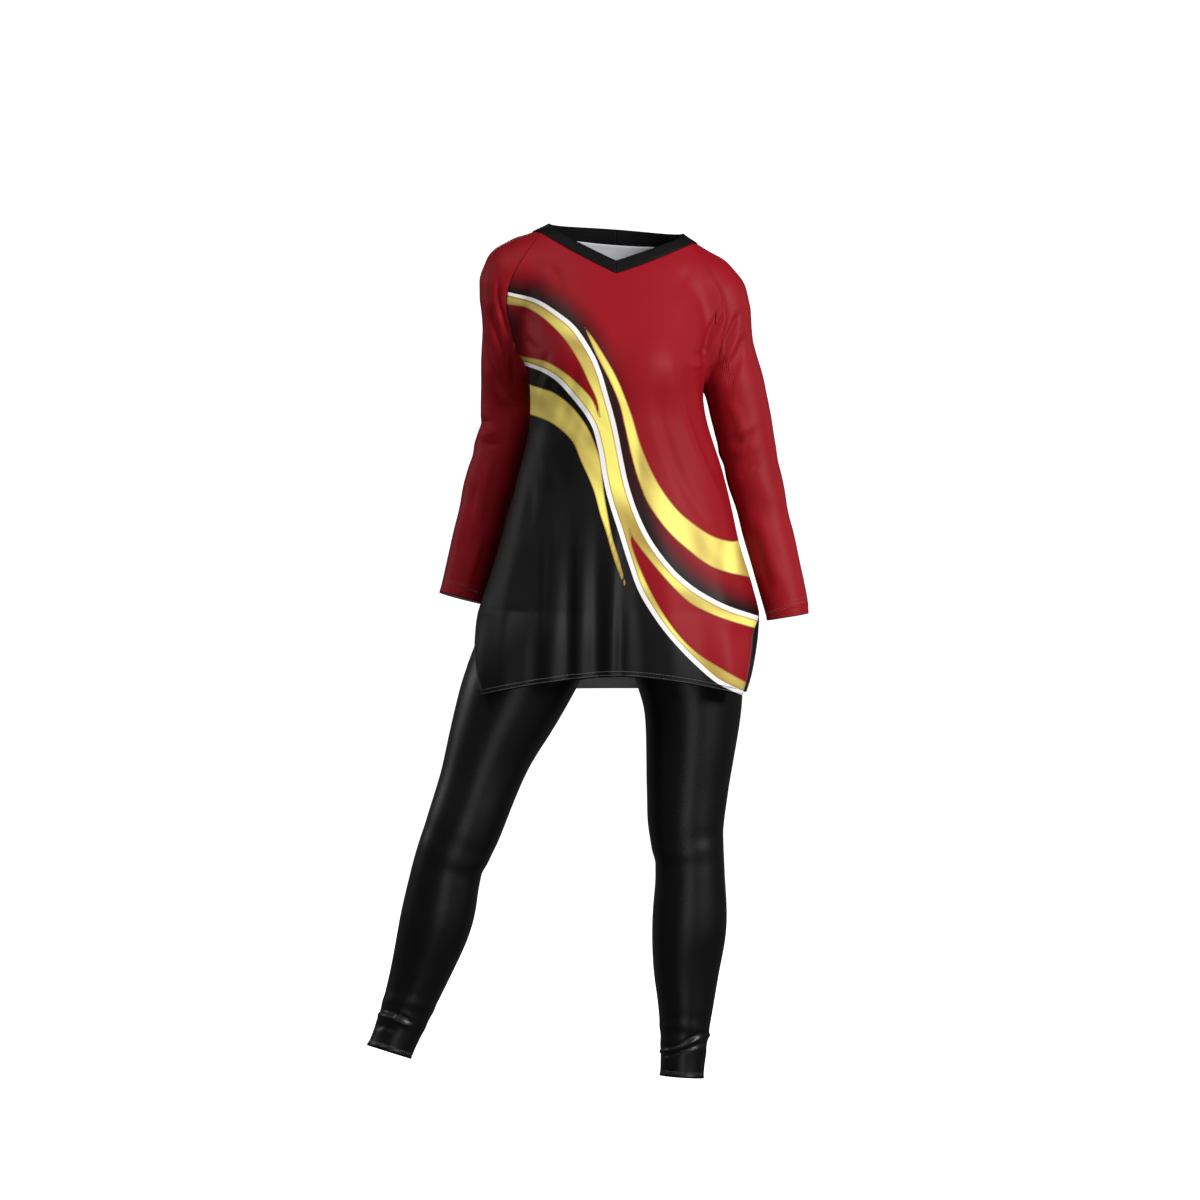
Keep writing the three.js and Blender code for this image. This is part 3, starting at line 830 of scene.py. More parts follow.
def sew(
    name: str, lines: Sequence[tuple[Array, Array]], thread: bpy.types.Material, body: str | None
) -> bpy.types.Object:
    """Stitch along several lines and keep the stitches as one piece.

    Args:
        name: The piece's name.
        lines: Each line's points and the cloth's normals there.
        thread: The thread's finish.
        body: The body that they ride on, or nothing to leave them unattached.

    Returns:
        The stitches.
    """
    runs = [stitch_run(path, normal) for path, normal in lines]
    starts = np.cumsum([0, *(len(points) for points, _ in runs[:-1])])
    faces = np.vstack([quads + start for (_, quads), start in zip(runs, starts)])
    return keep_piece(name, np.vstack([points for points, _ in runs]), faces, thread, body)


# ---------------------------------------------------------------- finishes


def linear(code: str) -> tuple[float, float, float, float]:
    """An sRGB hex colour as linear red, green, blue and alpha."""
    parts = [int(code[i : i + 2], 16) / 255 for i in (1, 3, 5)]
    return (*(c / 12.92 if c <= 0.04045 else ((c + 0.055) / 1.055) ** 2.4 for c in parts), 1.0)


def add(
    tree: bpy.types.NodeTree, kind: str, settings: dict | None = None, **inputs: object
) -> bpy.types.Node:
    """Add a node, set its properties and sockets, and link the sockets that are given one.

    Args:
        tree: The material's node tree.
        kind: The node's type name.
        settings: Properties of the node.
        inputs: Socket values or output sockets to link, named with underscores for spaces, or as
            i0, i1 and so on by number.

    Returns:
        The node.
    """
    node = tree.nodes.new(kind)
    for key, value in (settings or {}).items():
        setattr(node, key, value)
    for key, value in inputs.items():
        numbered = key[0] == "i" and key[1:].isdigit()
        socket = node.inputs[int(key[1:])] if numbered else node.inputs[key.replace("_", " ")]
        if isinstance(value, bpy.types.NodeSocket):
            tree.links.new(value, socket)
        else:
            socket.default_value = value
    return node


def work(tree: bpy.types.NodeTree, operation: str, *values: object) -> bpy.types.NodeSocket:
    """One step of arithmetic on sockets and numbers."""
    numbered = {f"i{n}": value for n, value in enumerate(values)}
    return add(tree, "ShaderNodeMath", {"operation": operation}, **numbered).outputs[0]


def remap(
    tree: bpy.types.NodeTree,
    value: bpy.types.NodeSocket,
    source: tuple[float, float] = (0.0, 1.0),
    target: tuple[float, float] = (0.0, 1.0),
) -> bpy.types.NodeSocket:
    """A value carried from one range to another, and held to its ends."""
    node = add(tree, "ShaderNodeMapRange", Value=value)
    for key, (low, high) in (("From", source), ("To", target)):
        node.inputs[f"{key} Min"].default_value, node.inputs[f"{key} Max"].default_value = low, high
    return node.outputs[0]


@dataclass(frozen=True)
class Knit:
    """A polyester and elastane knit: smooth, with fine wales and a soft shine."""

    name: str
    face: str
    deep: str
    rough: float = 0.52
    sheen: float = 0.05
    shine: float = 0.12  # the share of a plain surface's specular reflection
    wale: float = 1.5  # mm between wales, drawn twice as coarse as the real knit so that it shows
    relief: float = 0.12

    def start(self) -> tuple[bpy.types.Material, bpy.types.NodeTree, bpy.types.Node]:
        """A material with a principled shader and nothing else."""
        material = bpy.data.materials.new(self.name)
        material.use_nodes = True
        tree = material.node_tree
        tree.nodes.clear()
        shader = add(tree, "ShaderNodeBsdfPrincipled", Roughness=self.rough, IOR=1.46)
        shader.inputs["Sheen Weight"].default_value = self.sheen
        shader.inputs["Sheen Roughness"].default_value = 0.35
        shader.inputs["Sheen Tint"].default_value = linear(self.face)
        shader.inputs["Specular IOR Level"].default_value = self.shine
        out = add(tree, "ShaderNodeOutputMaterial")
        tree.links.new(shader.outputs[0], out.inputs["Surface"])
        return material, tree, shader

    def weave(self, tree: bpy.types.NodeTree, shader: bpy.types.Node) -> bpy.types.NodeSocket:
        """Knit relief on the cloth's own coordinates, from crossed waves and a fine noise.

        Args:
            tree: The material's node tree.
            shader: The shader that takes the bump and the roughness.

        Returns:
            The cloth coordinates.
        """
        place = add(tree, "ShaderNodeUVMap", {"uv_map": "cloth"}).outputs[0]
        scale = 1.0 / (self.wale * MM) / 20.0
        wales = add(tree, "ShaderNodeTexWave", {"bands_direction": "X"}, Vector=place, Scale=scale * math.pi)
        rows = add(tree, "ShaderNodeTexWave", {"bands_direction": "Y"}, Vector=place, Scale=scale * math.pi)
        grain = add(tree, "ShaderNodeTexNoise", Vector=place, Scale=420.0, Detail=3.0)
        cloudy = add(tree, "ShaderNodeTexNoise", Vector=place, Scale=14.0, Detail=4.0)
        both = work(tree, "MULTIPLY", wales.outputs["Fac"], rows.outputs["Fac"])
        height = work(tree, "ADD", both, grain.outputs["Fac"])
        relief = add(tree, "ShaderNodeBump", Strength=self.relief, Distance=0.0004, Height=height)
        tree.links.new(relief.outputs[0], shader.inputs["Normal"])
        rough = remap(tree, cloudy.outputs["Fac"], target=(self.rough - 0.05, self.rough + 0.07))
        tree.links.new(rough, shader.inputs["Roughness"])
        return place

    def make(self) -> bpy.types.Material:
        """The plain dyed knit, a little darker in clouds."""
        material, tree, shader = self.start()
        place = self.weave(tree, shader)
        cloudy = add(tree, "ShaderNodeTexNoise", Vector=place, Scale=9.0, Detail=3.0)
        tone = remap(tree, cloudy.outputs["Fac"], (0.3, 0.7))
        deep, face = linear(self.deep), linear(self.face)
        mix = add(tree, "ShaderNodeMix", {"data_type": "RGBA"}, i0=tone, i6=deep, i7=face)
        tree.links.new(mix.outputs[2], shader.inputs["Base Color"])
        return material


@dataclass(frozen=True)
class PrintedKnit(Knit):
    """The same knit with the print dyed into its face: flat inks with crisp edges, and inked gold."""

    black: str = "#060606"
    white: str = "#F4F1EE"
    gold_dark: str = "#A08441"
    gold_mid: str = "#D3BC62"
    gold_bright: str = "#FFF27A"
    black_shine: float = 0.23  # the black ink shines more than the colours do

    def make(self) -> bpy.types.Material:
        """The printed knit, its inks laid over each other in printing order, with painted shade laid on top
        by the wearer's right armhole.
        """
        material, tree, shader = self.start()
        self.weave(tree, shader)
        ink = {
            key: add(tree, "ShaderNodeAttribute", {"attribute_name": key}).outputs["Fac"]
            for key in Print.names
        }
        below_upper = work(tree, "MULTIPLY", ink["above_upper"], -1.0)
        below_lower = work(tree, "MULTIPLY", ink["above_lower"], -1.0)
        band = work(tree, "MINIMUM", below_upper, ink["above_lower"])
        off_upper = work(tree, "ABSOLUTE", ink["above_upper"])
        off_lower = work(tree, "ABSOLUTE", ink["above_lower"])
        off_stripe = work(tree, "MINIMUM", off_upper, off_lower)
        stripe = work(tree, "SUBTRACT", ink["stripe_width"], off_stripe)
        out_of_inset = work(tree, "MULTIPLY", ink["inset"], -1.0)
        clear_band = work(tree, "SUBTRACT", band, Print.stripe_half_width)
        band_depth = work(tree, "MINIMUM", clear_band, out_of_inset)
        loose = work(tree, "MAXIMUM", ink["spear"], ink["swoosh"])
        gold = self._gold(tree, work(tree, "MAXIMUM", loose, band_depth), ink["tone"])
        red, black = linear(self.face), linear(self.black)
        colour = self._over(tree, red, black, ink["shade"])
        colour = self._over(tree, colour, gold, self._edge(tree, ink["swoosh"]))
        colour = self._over(tree, colour, black, self._edge(tree, below_lower))
        colour = self._over(tree, colour, gold, self._edge(tree, ink["spear"]))
        colour = self._over(tree, colour, gold, self._edge(tree, band))
        colour = self._over(tree, colour, red, self._edge(tree, ink["inset"]))
        colour = self._over(tree, colour, linear(self.white), self._edge(tree, stripe))
        # painted shade: black laid over the side by the wearer's right armhole, which then shines like the
        # black ink
        colour = self._over(tree, colour, black, ink["painted_side_shade"])
        tree.links.new(colour, shader.inputs["Base Color"])
        tone = add(tree, "ShaderNodeRGBToBW", Color=colour)
        shine = remap(tree, tone.outputs[0], (0.004, 0.04), (self.black_shine, self.shine))
        tree.links.new(shine, shader.inputs["Specular IOR Level"])
        return material

    def _edge(self, tree: bpy.types.NodeTree, depth: bpy.types.NodeSocket) -> bpy.types.NodeSocket:
        """The share of an ink, which goes from 0 to 1 within half a millimetre of its edge."""
        return remap(tree, depth, (-0.3, 0.3))

    def _over(
        self, tree: bpy.types.NodeTree, under: object, ink: object, share: object
    ) -> bpy.types.NodeSocket:
        """One ink laid over what is under it."""
        return add(tree, "ShaderNodeMix", {"data_type": "RGBA"}, i0=share, i6=under, i7=ink).outputs[2]

    def _gold(
        self, tree: bpy.types.NodeTree, depth: bpy.types.NodeSocket, tone: bpy.types.NodeSocket
    ) -> bpy.types.NodeSocket:
        """Printed gold, drawn like foil in the light: bright and dull by turns, with a dark rim.

        Args:
            tree: The material's node tree.
            depth: How deep a place lies in the gold, in mm.
            tone: How bright the foil is drawn there.

        Returns:
            The colour.
        """
        place = add(tree, "ShaderNodeTexCoord").outputs["Object"]
        turn = add(tree, "ShaderNodeMapping", Vector=place)
        turn.inputs["Rotation"].default_value = (0.0, math.radians(38), 0.0)
        wave = add(
            tree, "ShaderNodeTexWave", {"bands_direction": "X"},
            Vector=turn.outputs[0], Scale=9.0, Distortion=3.0,
        )  # fmt: skip
        streak = work(tree, "MULTIPLY", wave.outputs["Fac"], 0.14)
        rim = remap(tree, depth, (0.5, 2.4), (0.25, 1.0))
        share = work(tree, "MULTIPLY", work(tree, "ADD", tone, streak), rim)
        share = work(tree, "SUBTRACT", share, 0.07)
        ramp = add(tree, "ShaderNodeValToRGB", Fac=share)
        stops = ramp.color_ramp.elements
        stops[0].color, stops[1].color = linear(self.gold_dark), linear(self.gold_bright)
        stops[0].position, stops[1].position = 0.1, 0.95
        middle = stops.new(0.5)
        middle.color = linear(self.gold_mid)
        return ramp.outputs[0]


@dataclass(frozen=True)
class Thread:
    """Spun polyester sewing thread: matte and slightly fuzzy."""

    name: str
    colour: str

    def make(self) -> bpy.types.Material:
        """The thread, its tone changing along the seam."""
        material = bpy.data.materials.new(self.name)
        material.use_nodes = True
        tree = material.node_tree
        tree.nodes.clear()
        shader = add(tree, "ShaderNodeBsdfPrincipled", Roughness=0.6)
        shader.inputs["Sheen Weight"].default_value = 0.4
        place = add(tree, "ShaderNodeTexCoord").outputs["Object"]
        twist = add(tree, "ShaderNodeTexNoise", Vector=place, Scale=900.0, Detail=2.0)
        ramp = add(tree, "ShaderNodeValToRGB", Fac=twist.outputs["Fac"])
        shade = linear(self.colour)
        ramp.color_ramp.elements[0].color = (*(0.55 * c for c in shade[:3]), 1.0)
        ramp.color_ramp.elements[1].color = shade
        tree.links.new(ramp.outputs[0], shader.inputs["Base Color"])
        out = add(tree, "ShaderNodeOutputMaterial")
        tree.links.new(shader.outputs[0], out.inputs["Surface"])
        return material


LOOKS = {
    "red": Knit("red_interlock_knit", "#8E121D", "#86111B"),
    "printed": PrintedKnit("dye_printed_interlock_knit", "#8E121D", "#86111B"),
    "black": Knit("black_interlock_knit", "#060606", "#040404", rough=0.38, sheen=0.03, shine=0.4),
    "rib": Knit("black_rib_knit", "#0F0F10", "#0A0A0B", rough=0.6, sheen=0.2, wale=2.4, relief=0.5),
    "reverse": Knit("unprinted_knit_reverse", "#BDBDC0", "#ACACAF", rough=0.6, sheen=0.2),
    "elastic": Knit("woven_waist_elastic", "#E8E4DC", "#D8D3C8", rough=0.7, wale=2.0, relief=0.6),
    "grey_thread": Thread("grey_polyester_thread", "#5A5A5C"),
    "red_thread": Thread("red_polyester_thread", "#8E1620"),
    "black_thread": Thread("black_polyester_thread", "#202022"),
}


@dataclass(frozen=True)
class Finishes:
    """Every finish of the uniform, made once."""

    red: bpy.types.Material
    printed: bpy.types.Material
    black: bpy.types.Material
    rib: bpy.types.Material
    reverse: bpy.types.Material
    elastic: bpy.types.Material
    grey_thread: bpy.types.Material
    red_thread: bpy.types.Material
    black_thread: bpy.types.Material

    @classmethod
    def made(cls) -> "Finishes":
        """Make every material of LOOKS."""
        return cls(**{key: look.make() for key, look in LOOKS.items()})


# ---------------------------------------------------------------- tunic


FRONT_FOLDS = (
    # the skirt's upright folds, deeper towards the hem
    Fold(((-108, 20), (-118, -120), (-126, -250), (-130, -360)), 12, -4.5, 0.7, 0.02),
    Fold(((-90, 10), (-96, -120), (-100, -250), (-102, -360)), 12, 5.0, 0.7, 0.02),
    Fold(((-68, 0), (-72, -130), (-74, -260), (-76, -360)), 9, -5.0, 0.7, 0.02),
    Fold(((-50, 10), (-53, -120), (-56, -250), (-57, -360)), 11, 5.0, 0.7, 0.02),
    Fold(((-26, -20), (-29, -140), (-31, -250), (-31, -360)), 9, -5.5, 0.7, 0.02),
    Fold(((-2, -10), (-4, -140), (-7, -250), (-8, -360)), 9, 6.5, 0.7, 0.02),
    Fold(((8, -190), (8, -260), (6, -360)), 5, -3.5, 0.6, 0.02),
    Fold(((24, -40), (30, -160), (38, -270), (42, -360)), 14, -3.5, 0.7, 0.02),
    Fold(((60, -60), (76, -180), (86, -280), (92, -360)), 18, 3.5, 0.6, 0.02),
    Fold(((112, -110), (128, -220), (140, -360)), 18, -3.0, 0.6, 0.02),
    Fold(((150, -90), (168, -210), (178, -340)), 16, 3.0, 0.6, 0.02),
    Fold(((-150, -60), (-168, -200), (-176, -350)), 15, 4.0, 0.6, 0.02),
    # from the bust and the armpits down to the sides
    Fold(((80, 196), (92, 120), (124, 30), (176, -62)), 11, 3.4),
    Fold(((100, 178), (118, 96), (150, 8), (188, -70)), 9, -3.4),
    Fold(((60, 150), (72, 70), (104, -20), (160, -110)), 10, -2.6),
    Fold(((118, 150), (128, 110), (146, 50), (166, -10)), 7, 2.8),
    Fold(((-100, 184), (-112, 160), (-130, 118), (-138, 90)), 6, -3.8, 0.3, 0.2),
    Fold(((-90, 178), (-102, 150), (-120, 108), (-130, 60)), 8, 3.2, 0.3, 0.3),
    Fold(((-56, 172), (-64, 138), (-78, 100), (-100, 40)), 10, -3.6, 0.3, 0.4),
    Fold(((-34, 150), (-40, 100), (-62, 40), (-84, -40)), 10, 3.0, 0.3, 0.5),
    Fold(((-132, 60), (-112, 20), (-100, -40)), 10, 2.4, 0.4, 0.4),
    Fold(((-140, 20), (-134, -40), (-140, -120)), 10, -2.6, 0.4, 0.4),
    # short pulls beside the armholes
    Fold(((174, 287), (151, 240), (140, 203), (135, 160)), 4, -3.8, 0.2, 0.2),
    Fold(((182, 272), (160, 228), (144, 186)), 4.5, 2.2, 0.2, 0.3),
    Fold(((142, 205), (128, 190), (112, 186)), 5, -2.2, 0.1, 0.6),
    Fold(((140, 180), (124, 170), (104, 172)), 5, 2.2, 0.1, 0.6),
    Fold(((-142, 200), (-128, 186), (-112, 182)), 5, -2.2, 0.1, 0.6),
    Fold(((-150, 250), (-134, 226), (-124, 196)), 7, -2.4, 0.2, 0.5),
    Fold(((120, 330), (100, 300), (92, 262)), 9, -1.6, 0.3, 0.6),
    Fold(((-112, 322), (-92, 296), (-80, 262)), 9, -1.6, 0.3, 0.6),
)
BACK_FOLDS = (
    Fold(((0, 40), (2, -120), (4, -250), (2, -365)), 16, 4.5, 0.6, 0.02),
    Fold(((32, 20), (36, -120), (40, -250), (40, -365)), 12, -4.5, 0.6, 0.02),
    Fold(((-34, 20), (-38, -120), (-40, -250), (-44, -365)), 12, -4.5, 0.6, 0.02),
    Fold(((70, 0), (78, -120), (84, -250), (88, -365)), 15, 4.5, 0.6, 0.02),
    Fold(((-72, 0), (-80, -120), (-86, -250), (-92, -365)), 15, 4.5, 0.6, 0.02),
    Fold(((116, -20), (126, -140), (134, -260), (138, -365)), 14, -4.0, 0.6, 0.02),
    Fold(((-118, -20), (-128, -140), (-136, -260), (-140, -365)), 14, -4.0, 0.6, 0.02),
    Fold(((158, -60), (168, -180), (176, -340)), 15, 3.5, 0.6, 0.02),
    Fold(((-158, -60), (-170, -180), (-178, -340)), 15, 3.5, 0.6, 0.02),
    Fold(((-120, 40), (-60, 22), (10, 26), (70, 12)), 9, 2.6, 0.3, 0.3),
    Fold(((-100, 16), (-40, -2), (30, 4), (110, 24)), 8, -2.6, 0.3, 0.3),
    Fold(((-70, -26), (0, -34), (60, -20)), 9, 2.0, 0.3, 0.3),
    Fold(((132, 150), (100, 100), (84, 40)), 9, 2.6, 0.2, 0.5),
    Fold(((-132, 150), (-100, 96), (-86, 36)), 9, 2.6, 0.2, 0.5),
    Fold(((140, 190), (116, 168), (90, 156)), 7, -2.2, 0.2, 0.5),
    Fold(((-140, 192), (-116, 168), (-92, 158)), 7, -2.2, 0.2, 0.5),
)
SLEEVE_FOLDS = {
    Side.LEFT: (
        Fold(((196, 268), (180, 234), (166, 205), (150, 172)), 4, -4.4, 0.2, 0.1),
        Fold(((202, 250), (186, 214), (164, 172)), 5, 2.8, 0.3, 0.1),
        Fold(((206, 238), (192, 200), (170, 158)), 4.5, -3.0, 0.3, 0.2),
        Fold(((204, 214), (190, 178), (172, 140)), 6, -3.0, 0.4, 0.2),
        Fold(((176, 120), (192, 84), (206, 40)), 8, 2.2),
        Fold(((180, 36), (200, 50), (226, 64)), 6, -1.6, 0.3, 0.5),
        Fold(((182, 50), (202, 66), (228, 84)), 8, 1.8, 0.3, 0.5),
        Fold(((184, 18), (204, 32), (232, 46)), 8, 1.4, 0.3, 0.5),
        Fold(((192, -10), (214, 6), (240, 14)), 6, -1.8, 0.2, 0.5),
        Fold(((222, -60), (238, -120), (262, -190)), 9, 2.0),
        Fold(((214, -90), (228, -140), (246, -200)), 8, -2.0),
    ),
    Side.RIGHT: (
        Fold(((-184, 294), (-187, 260), (-177, 224), (-169, 196)), 4, -4.2, 0.25, 0.2),
        Fold(((-192, 290), (-188, 252), (-184, 214)), 5, 1.8, 0.25, 0.2),
        Fold(((-200, 252), (-192, 212), (-175, 165), (-158, 128)), 4.5, -4.4, 0.2, 0.2),
        Fold(((-204, 262), (-200, 222), (-190, 180)), 6, 2.0, 0.25, 0.2),
        Fold(((-208, 205), (-195, 156), (-175, 116)), 4.5, -3.6, 0.2, 0.3),
        Fold(((-206, 168), (-196, 130), (-168, 100)), 7, 3.0),
        Fold(((-234, 88), (-216, 80), (-190, 80)), 5, -5.0, 0.02, 0.7),
        Fold(((-228, 66), (-206, 62), (-176, 70)), 7, 1.8, 0.2, 0.6),
        Fold(((-222, 56), (-204, 46), (-172, 46)), 5, -1.6, 0.3, 0.5),
        Fold(((-200, 20), (-214, -40), (-222, -90)), 9, 2.2),
        Fold(((-218, -10), (-234, -70), (-246, -140)), 8, -2.0),
        Fold(((-214, -100), (-228, -150), (-240, -196)), 8, 2.0),
    ),
}


ANKLE_FOLDS = {
    Side.LEFT: (
        Fold(((66, -912), (95, -905), (120, -892), (138, -880)), 3.0, -2.2, 0.1, 0.3),
        Fold(((66, -924), (98, -914), (124, -905), (146, -900)), 3.0, -2.4, 0.1, 0.1),
        Fold(((66, -918), (98, -909), (122, -898), (150, -890)), 3.5, 2.6, 0.05, 0.05),
        Fold(((70, -870), (84, -866), (100, -856)), 4.0, -1.6, 0.1, 0.5),
    ),
    Side.RIGHT: (
        Fold(((-382, -846), (-346, -854), (-312, -872)), 3.2, -2.4, 0.1, 0.3),
        Fold(((-386, -854), (-350, -862), (-318, -880)), 4.0, 2.4, 0.02, 0.3),
        Fold(((-384, -872), (-360, -874), (-336, -886)), 3.5, -1.8, 0.1, 0.5),
        Fold(((-372, -880), (-350, -862), (-326, -820)), 5.0, 1.4, 0.2, 0.4),
    ),
}


@dataclass
class TunicPanel:
    """The front or the back of the tunic, from its hem to the neckline."""

    face: Face
    finish: Finishes
    columns: int = 170
    rows: int = 230
    slit_stand_off: float = 85.0
    crowding: float = 0.86  # how much closer the columns stand towards the seams
    stitch_insets: tuple[float, float] = (3.0, 9.0)  # from the hem and the slit edges
    grid: Array = field(init=False)
    normal: Array = field(init=False)
    seam_heights: Array = field(init=False)
    seam_turns: dict[Side, Array] = field(init=False)

    def __post_init__(self) -> None:
        """Find once where the panel ends at every height."""
        self.seam_heights = np.linspace(-380, 400, 260)
        self.seam_turns = {side: FORM.seam_turn(self.seam_heights, self.face, side) for side in Side}

    def hem_height(self, share: Array) -> Array:
        """The hem's height by the share across, higher in the middle of the front than at its corners."""
        if self.face is Face.FRONT:
            return -322 - 30 * np.abs(share) ** 1.5
        return -345 - 5 * np.abs(share) ** 2

    def build(self) -> None:
        """Work out the panel's grid of points, with its folds."""
        turn = np.linspace(-math.pi / 2, math.pi / 2, self.columns) * self.crowding
        share = np.sin(turn) / math.sin(math.pi / 2 * self.crowding)
        turn_share = np.linspace(-1, 1, self.columns)
        share = 0.5 * share + 0.5 * turn_share
        bottom = self.hem_height(np.sin(share * math.pi / 2))
        top = self._neckline(share)
        t = np.linspace(0, 1, self.rows)[:, None]
        z = bottom + (top - bottom) * t
        psi = self._turns(share, z)
        points = FORM.bodice(psi, z, self.face)
        points = self._open_slits(points, np.sin(psi))
        normal = grid_normals(points)
        from_middle = (points - np.array([0, 10, 0])) * np.array([1, 1, 0])
        outward = np.sign(np.sum(normal * from_middle, axis=-1, keepdims=True))
        normal = normal * np.where(outward == 0, 1, outward)
        points = points + normal * self.folds(points, np.sin(psi))[..., None]
        self.grid = lean(points)
        normal = grid_normals(self.grid)
        if np.mean(normal[..., 1] * self.face.value) < 0:
            normal = -normal
        self.normal = normal

    def _neckline(self, share: Array) -> Array:
        """The height of the neckline in each column, found by repeated reading of its curve."""
        z = np.full(share.shape, 345.0)
        for _ in range(9):
            psi = self._turns(share, z[None])[0]
            x = FORM.bodice(psi, z, self.face)[..., 0]
            z = 0.35 * z + 0.65 * neck_height(x, self.face)
        return z

    def _turns(self, share: Array, z: Array) -> Array:
        """The turn of each point, as its column's share of the turn where the panel ends."""
        left, right = (np.interp(z, self.seam_heights, self.seam_turns[side]) for side in Side)
        return np.where(share > 0, share * left, share * right)

    def _open_slits(self, points: Array, across: Array) -> Array:
        """Below the slits, the edges stand off the side seam and the panel bows between them."""
        z = points[..., 2]
        bottom = self.hem_height(across)
        opening = 1 - (1 - np.clip((SLIT_TOP - z) / (SLIT_TOP - bottom), 0, 1)) ** 2
        edge = self.slit_stand_off * opening
        _, deep = BODICE.measure(z, self.face)
        out = points.copy()
        y = points[..., 1] * self.face.value
        out[..., 1] = self.face.value * np.where(z < SLIT_TOP, edge + y * (deep - edge) / deep, y)
        if self.face is Face.FRONT:
            out[..., 0] -= 12 * smooth(across, 0.3, 1.0) * smooth(-z, 218, 262)
        return out

    def folds(self, points: Array, across: Array) -> Array:
        """The height of the cloth's folds over the plain form, in mm.

        Soft upright folds grow towards the hem, drag lines run from the bust to the hips, and the
        bust itself swells the front.

        Args:
            points: The panel's points before folding.
            across: The share across the panel at each point.

        Returns:
            Heights along the normals.
        """
        x, z = points[..., 0], points[..., 2]
        keep = 1 - smooth(np.abs(across), 0.965, 1.0)
        if self.face is Face.FRONT:
            bust = 10 * bump(x, -66, 44) * bump(z, 176, 46) + 10 * bump(x, 68, 44) * bump(z, 172, 46)
            bust -= 3 * bump(x, 2, 24) * bump(z, 150, 60)
            return lifted(FRONT_FOLDS, x, z) * keep + bust
        blades = 4 * bump(x, -68, 40) * bump(z, 232, 60) + 4 * bump(x, 68, 40) * bump(z, 226, 60)
        blades -= 3 * bump(x, 0, 16) * smooth(z, 20, 120) * (1 - smooth(z, 300, 350))
        return lifted(BACK_FOLDS, x, z) * keep + blades

    def make(self) -> bpy.types.Object:
        """Make the panel, its hem and its stitching.

        Returns:
            The panel.
        """
        self.build()
        rows, columns = self.grid.shape[:2]
        flat = self.grid.reshape(-1, 3)
        faces = grid_faces(rows, columns)
        if self.face is Face.BACK:
            faces = faces[:, ::-1]
        name = f"tunic_{self.face.word}_panel"
        marks = Print().fields(flat)
        uv = cloth_uv(self.grid).reshape(-1, 2)
        piece = keep_piece(name, flat, faces, self.finish.printed, None, uv, marks)
        thicken(piece, self.finish.reverse)
        nodes = [f"{self.face.word}_bodice", f"{self.face.word}_skirt", f"{self.face.word}_skirt_hem"]
        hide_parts(*nodes)
        declare(piece, self.grid)
        self.bend(piece)
        self.stitch()
        return piece

    def bend(self, piece: bpy.types.Object) -> None:
        """Bake the piece's placement into its points."""
        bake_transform(piece)

    def stitch(self) -> None:
        """Two rows of stitches along the hem and up both slit edges."""
        lines = [self._edge_path(inset) for inset in self.stitch_insets]
        name = f"tunic_{self.face.word}_hem_stitches"
        self.bend(sew(name, lines, self.finish.grey_thread, None))

    def _edge_path(self, inset: float) -> tuple[Array, Array]:
        """A line a distance inside the hem and the slit edges.

        Args:
            inset: The distance in mm.

        Returns:
            Points of the line and the cloth's normals there.
        """
        columns = self.grid.shape[1]
        step_up = np.linalg.norm(np.diff(self.grid, axis=0), axis=-1).mean(axis=0)
        up = inset / step_up
        side_rows = np.flatnonzero(self.grid[:, 0, 2] < SLIT_TOP + 4)
        run = np.cumsum(np.linalg.norm(np.diff(self.grid, axis=1, prepend=self.grid[:, :1]), axis=-1), axis=1)
        total = run[:, -1:]
        left = [np.interp(inset, run[r], np.arange(columns)) for r in side_rows]
        right = [np.interp(total[r, 0] - inset, run[r], np.arange(columns)) for r in side_rows]
        first = math.ceil(left[0])
        last = math.floor(right[0])
        path = [(r, c) for r, c in zip(side_rows[::-1], left[::-1]) if r > up[0]]
        path += [(up[c], c) for c in range(first, last + 1)]
        path += [(r, c) for r, c in zip(side_rows, right) if r > up[-1]]
        at = np.array(path)
        return bilinear(self.grid, at), bilinear(self.normal, at)


def bilinear(grid: Array, at: Array) -> Array:
    """A grid's values at fractional (row, column) places, each a blend of its four neighbours."""
    r = np.clip(at[:, 0], 0, grid.shape[0] - 1.001)
    c = np.clip(at[:, 1], 0, grid.shape[1] - 1.001)
    i, j = r.astype(int), c.astype(int)
    u, v = (r - i)[:, None], (c - j)[:, None]
    low = grid[i, j] * (1 - v) + grid[i, j + 1] * v
    high = grid[i + 1, j] * (1 - v) + grid[i + 1, j + 1] * v
    return low * (1 - u) + high * u


def quad_area(grid: Array) -> float:
    """The area of a grid of points in square mm, as half the cross product of each quad's diagonals."""
    first = grid[1:, 1:] - grid[:-1, :-1]
    second = grid[1:, :-1] - grid[:-1, 1:]
    return float(0.5 * np.linalg.norm(np.cross(first, second), axis=-1).sum())


def declare(piece: bpy.types.Object, grid: Array) -> None:
    """State a sheet's cut size, measured over its folds: its width and length, and its flat area.

    Args:
        piece: The cloth.
        grid: Its points, in rows across the cut.
    """
    width = np.quantile(np.linalg.norm(np.diff(grid, axis=1), axis=-1).sum(axis=1), 0.9)
    length = np.quantile(np.linalg.norm(np.diff(grid, axis=0), axis=-1).sum(axis=0), 0.9)
    area = quad_area(grid)
    width = min(max(width, 1.02 * area / length), 3.2 * area / length)
    LOG.info("%s: cut %.0f by %.0f mm, %.3f m2", piece.name, width, length, area * MM * MM)


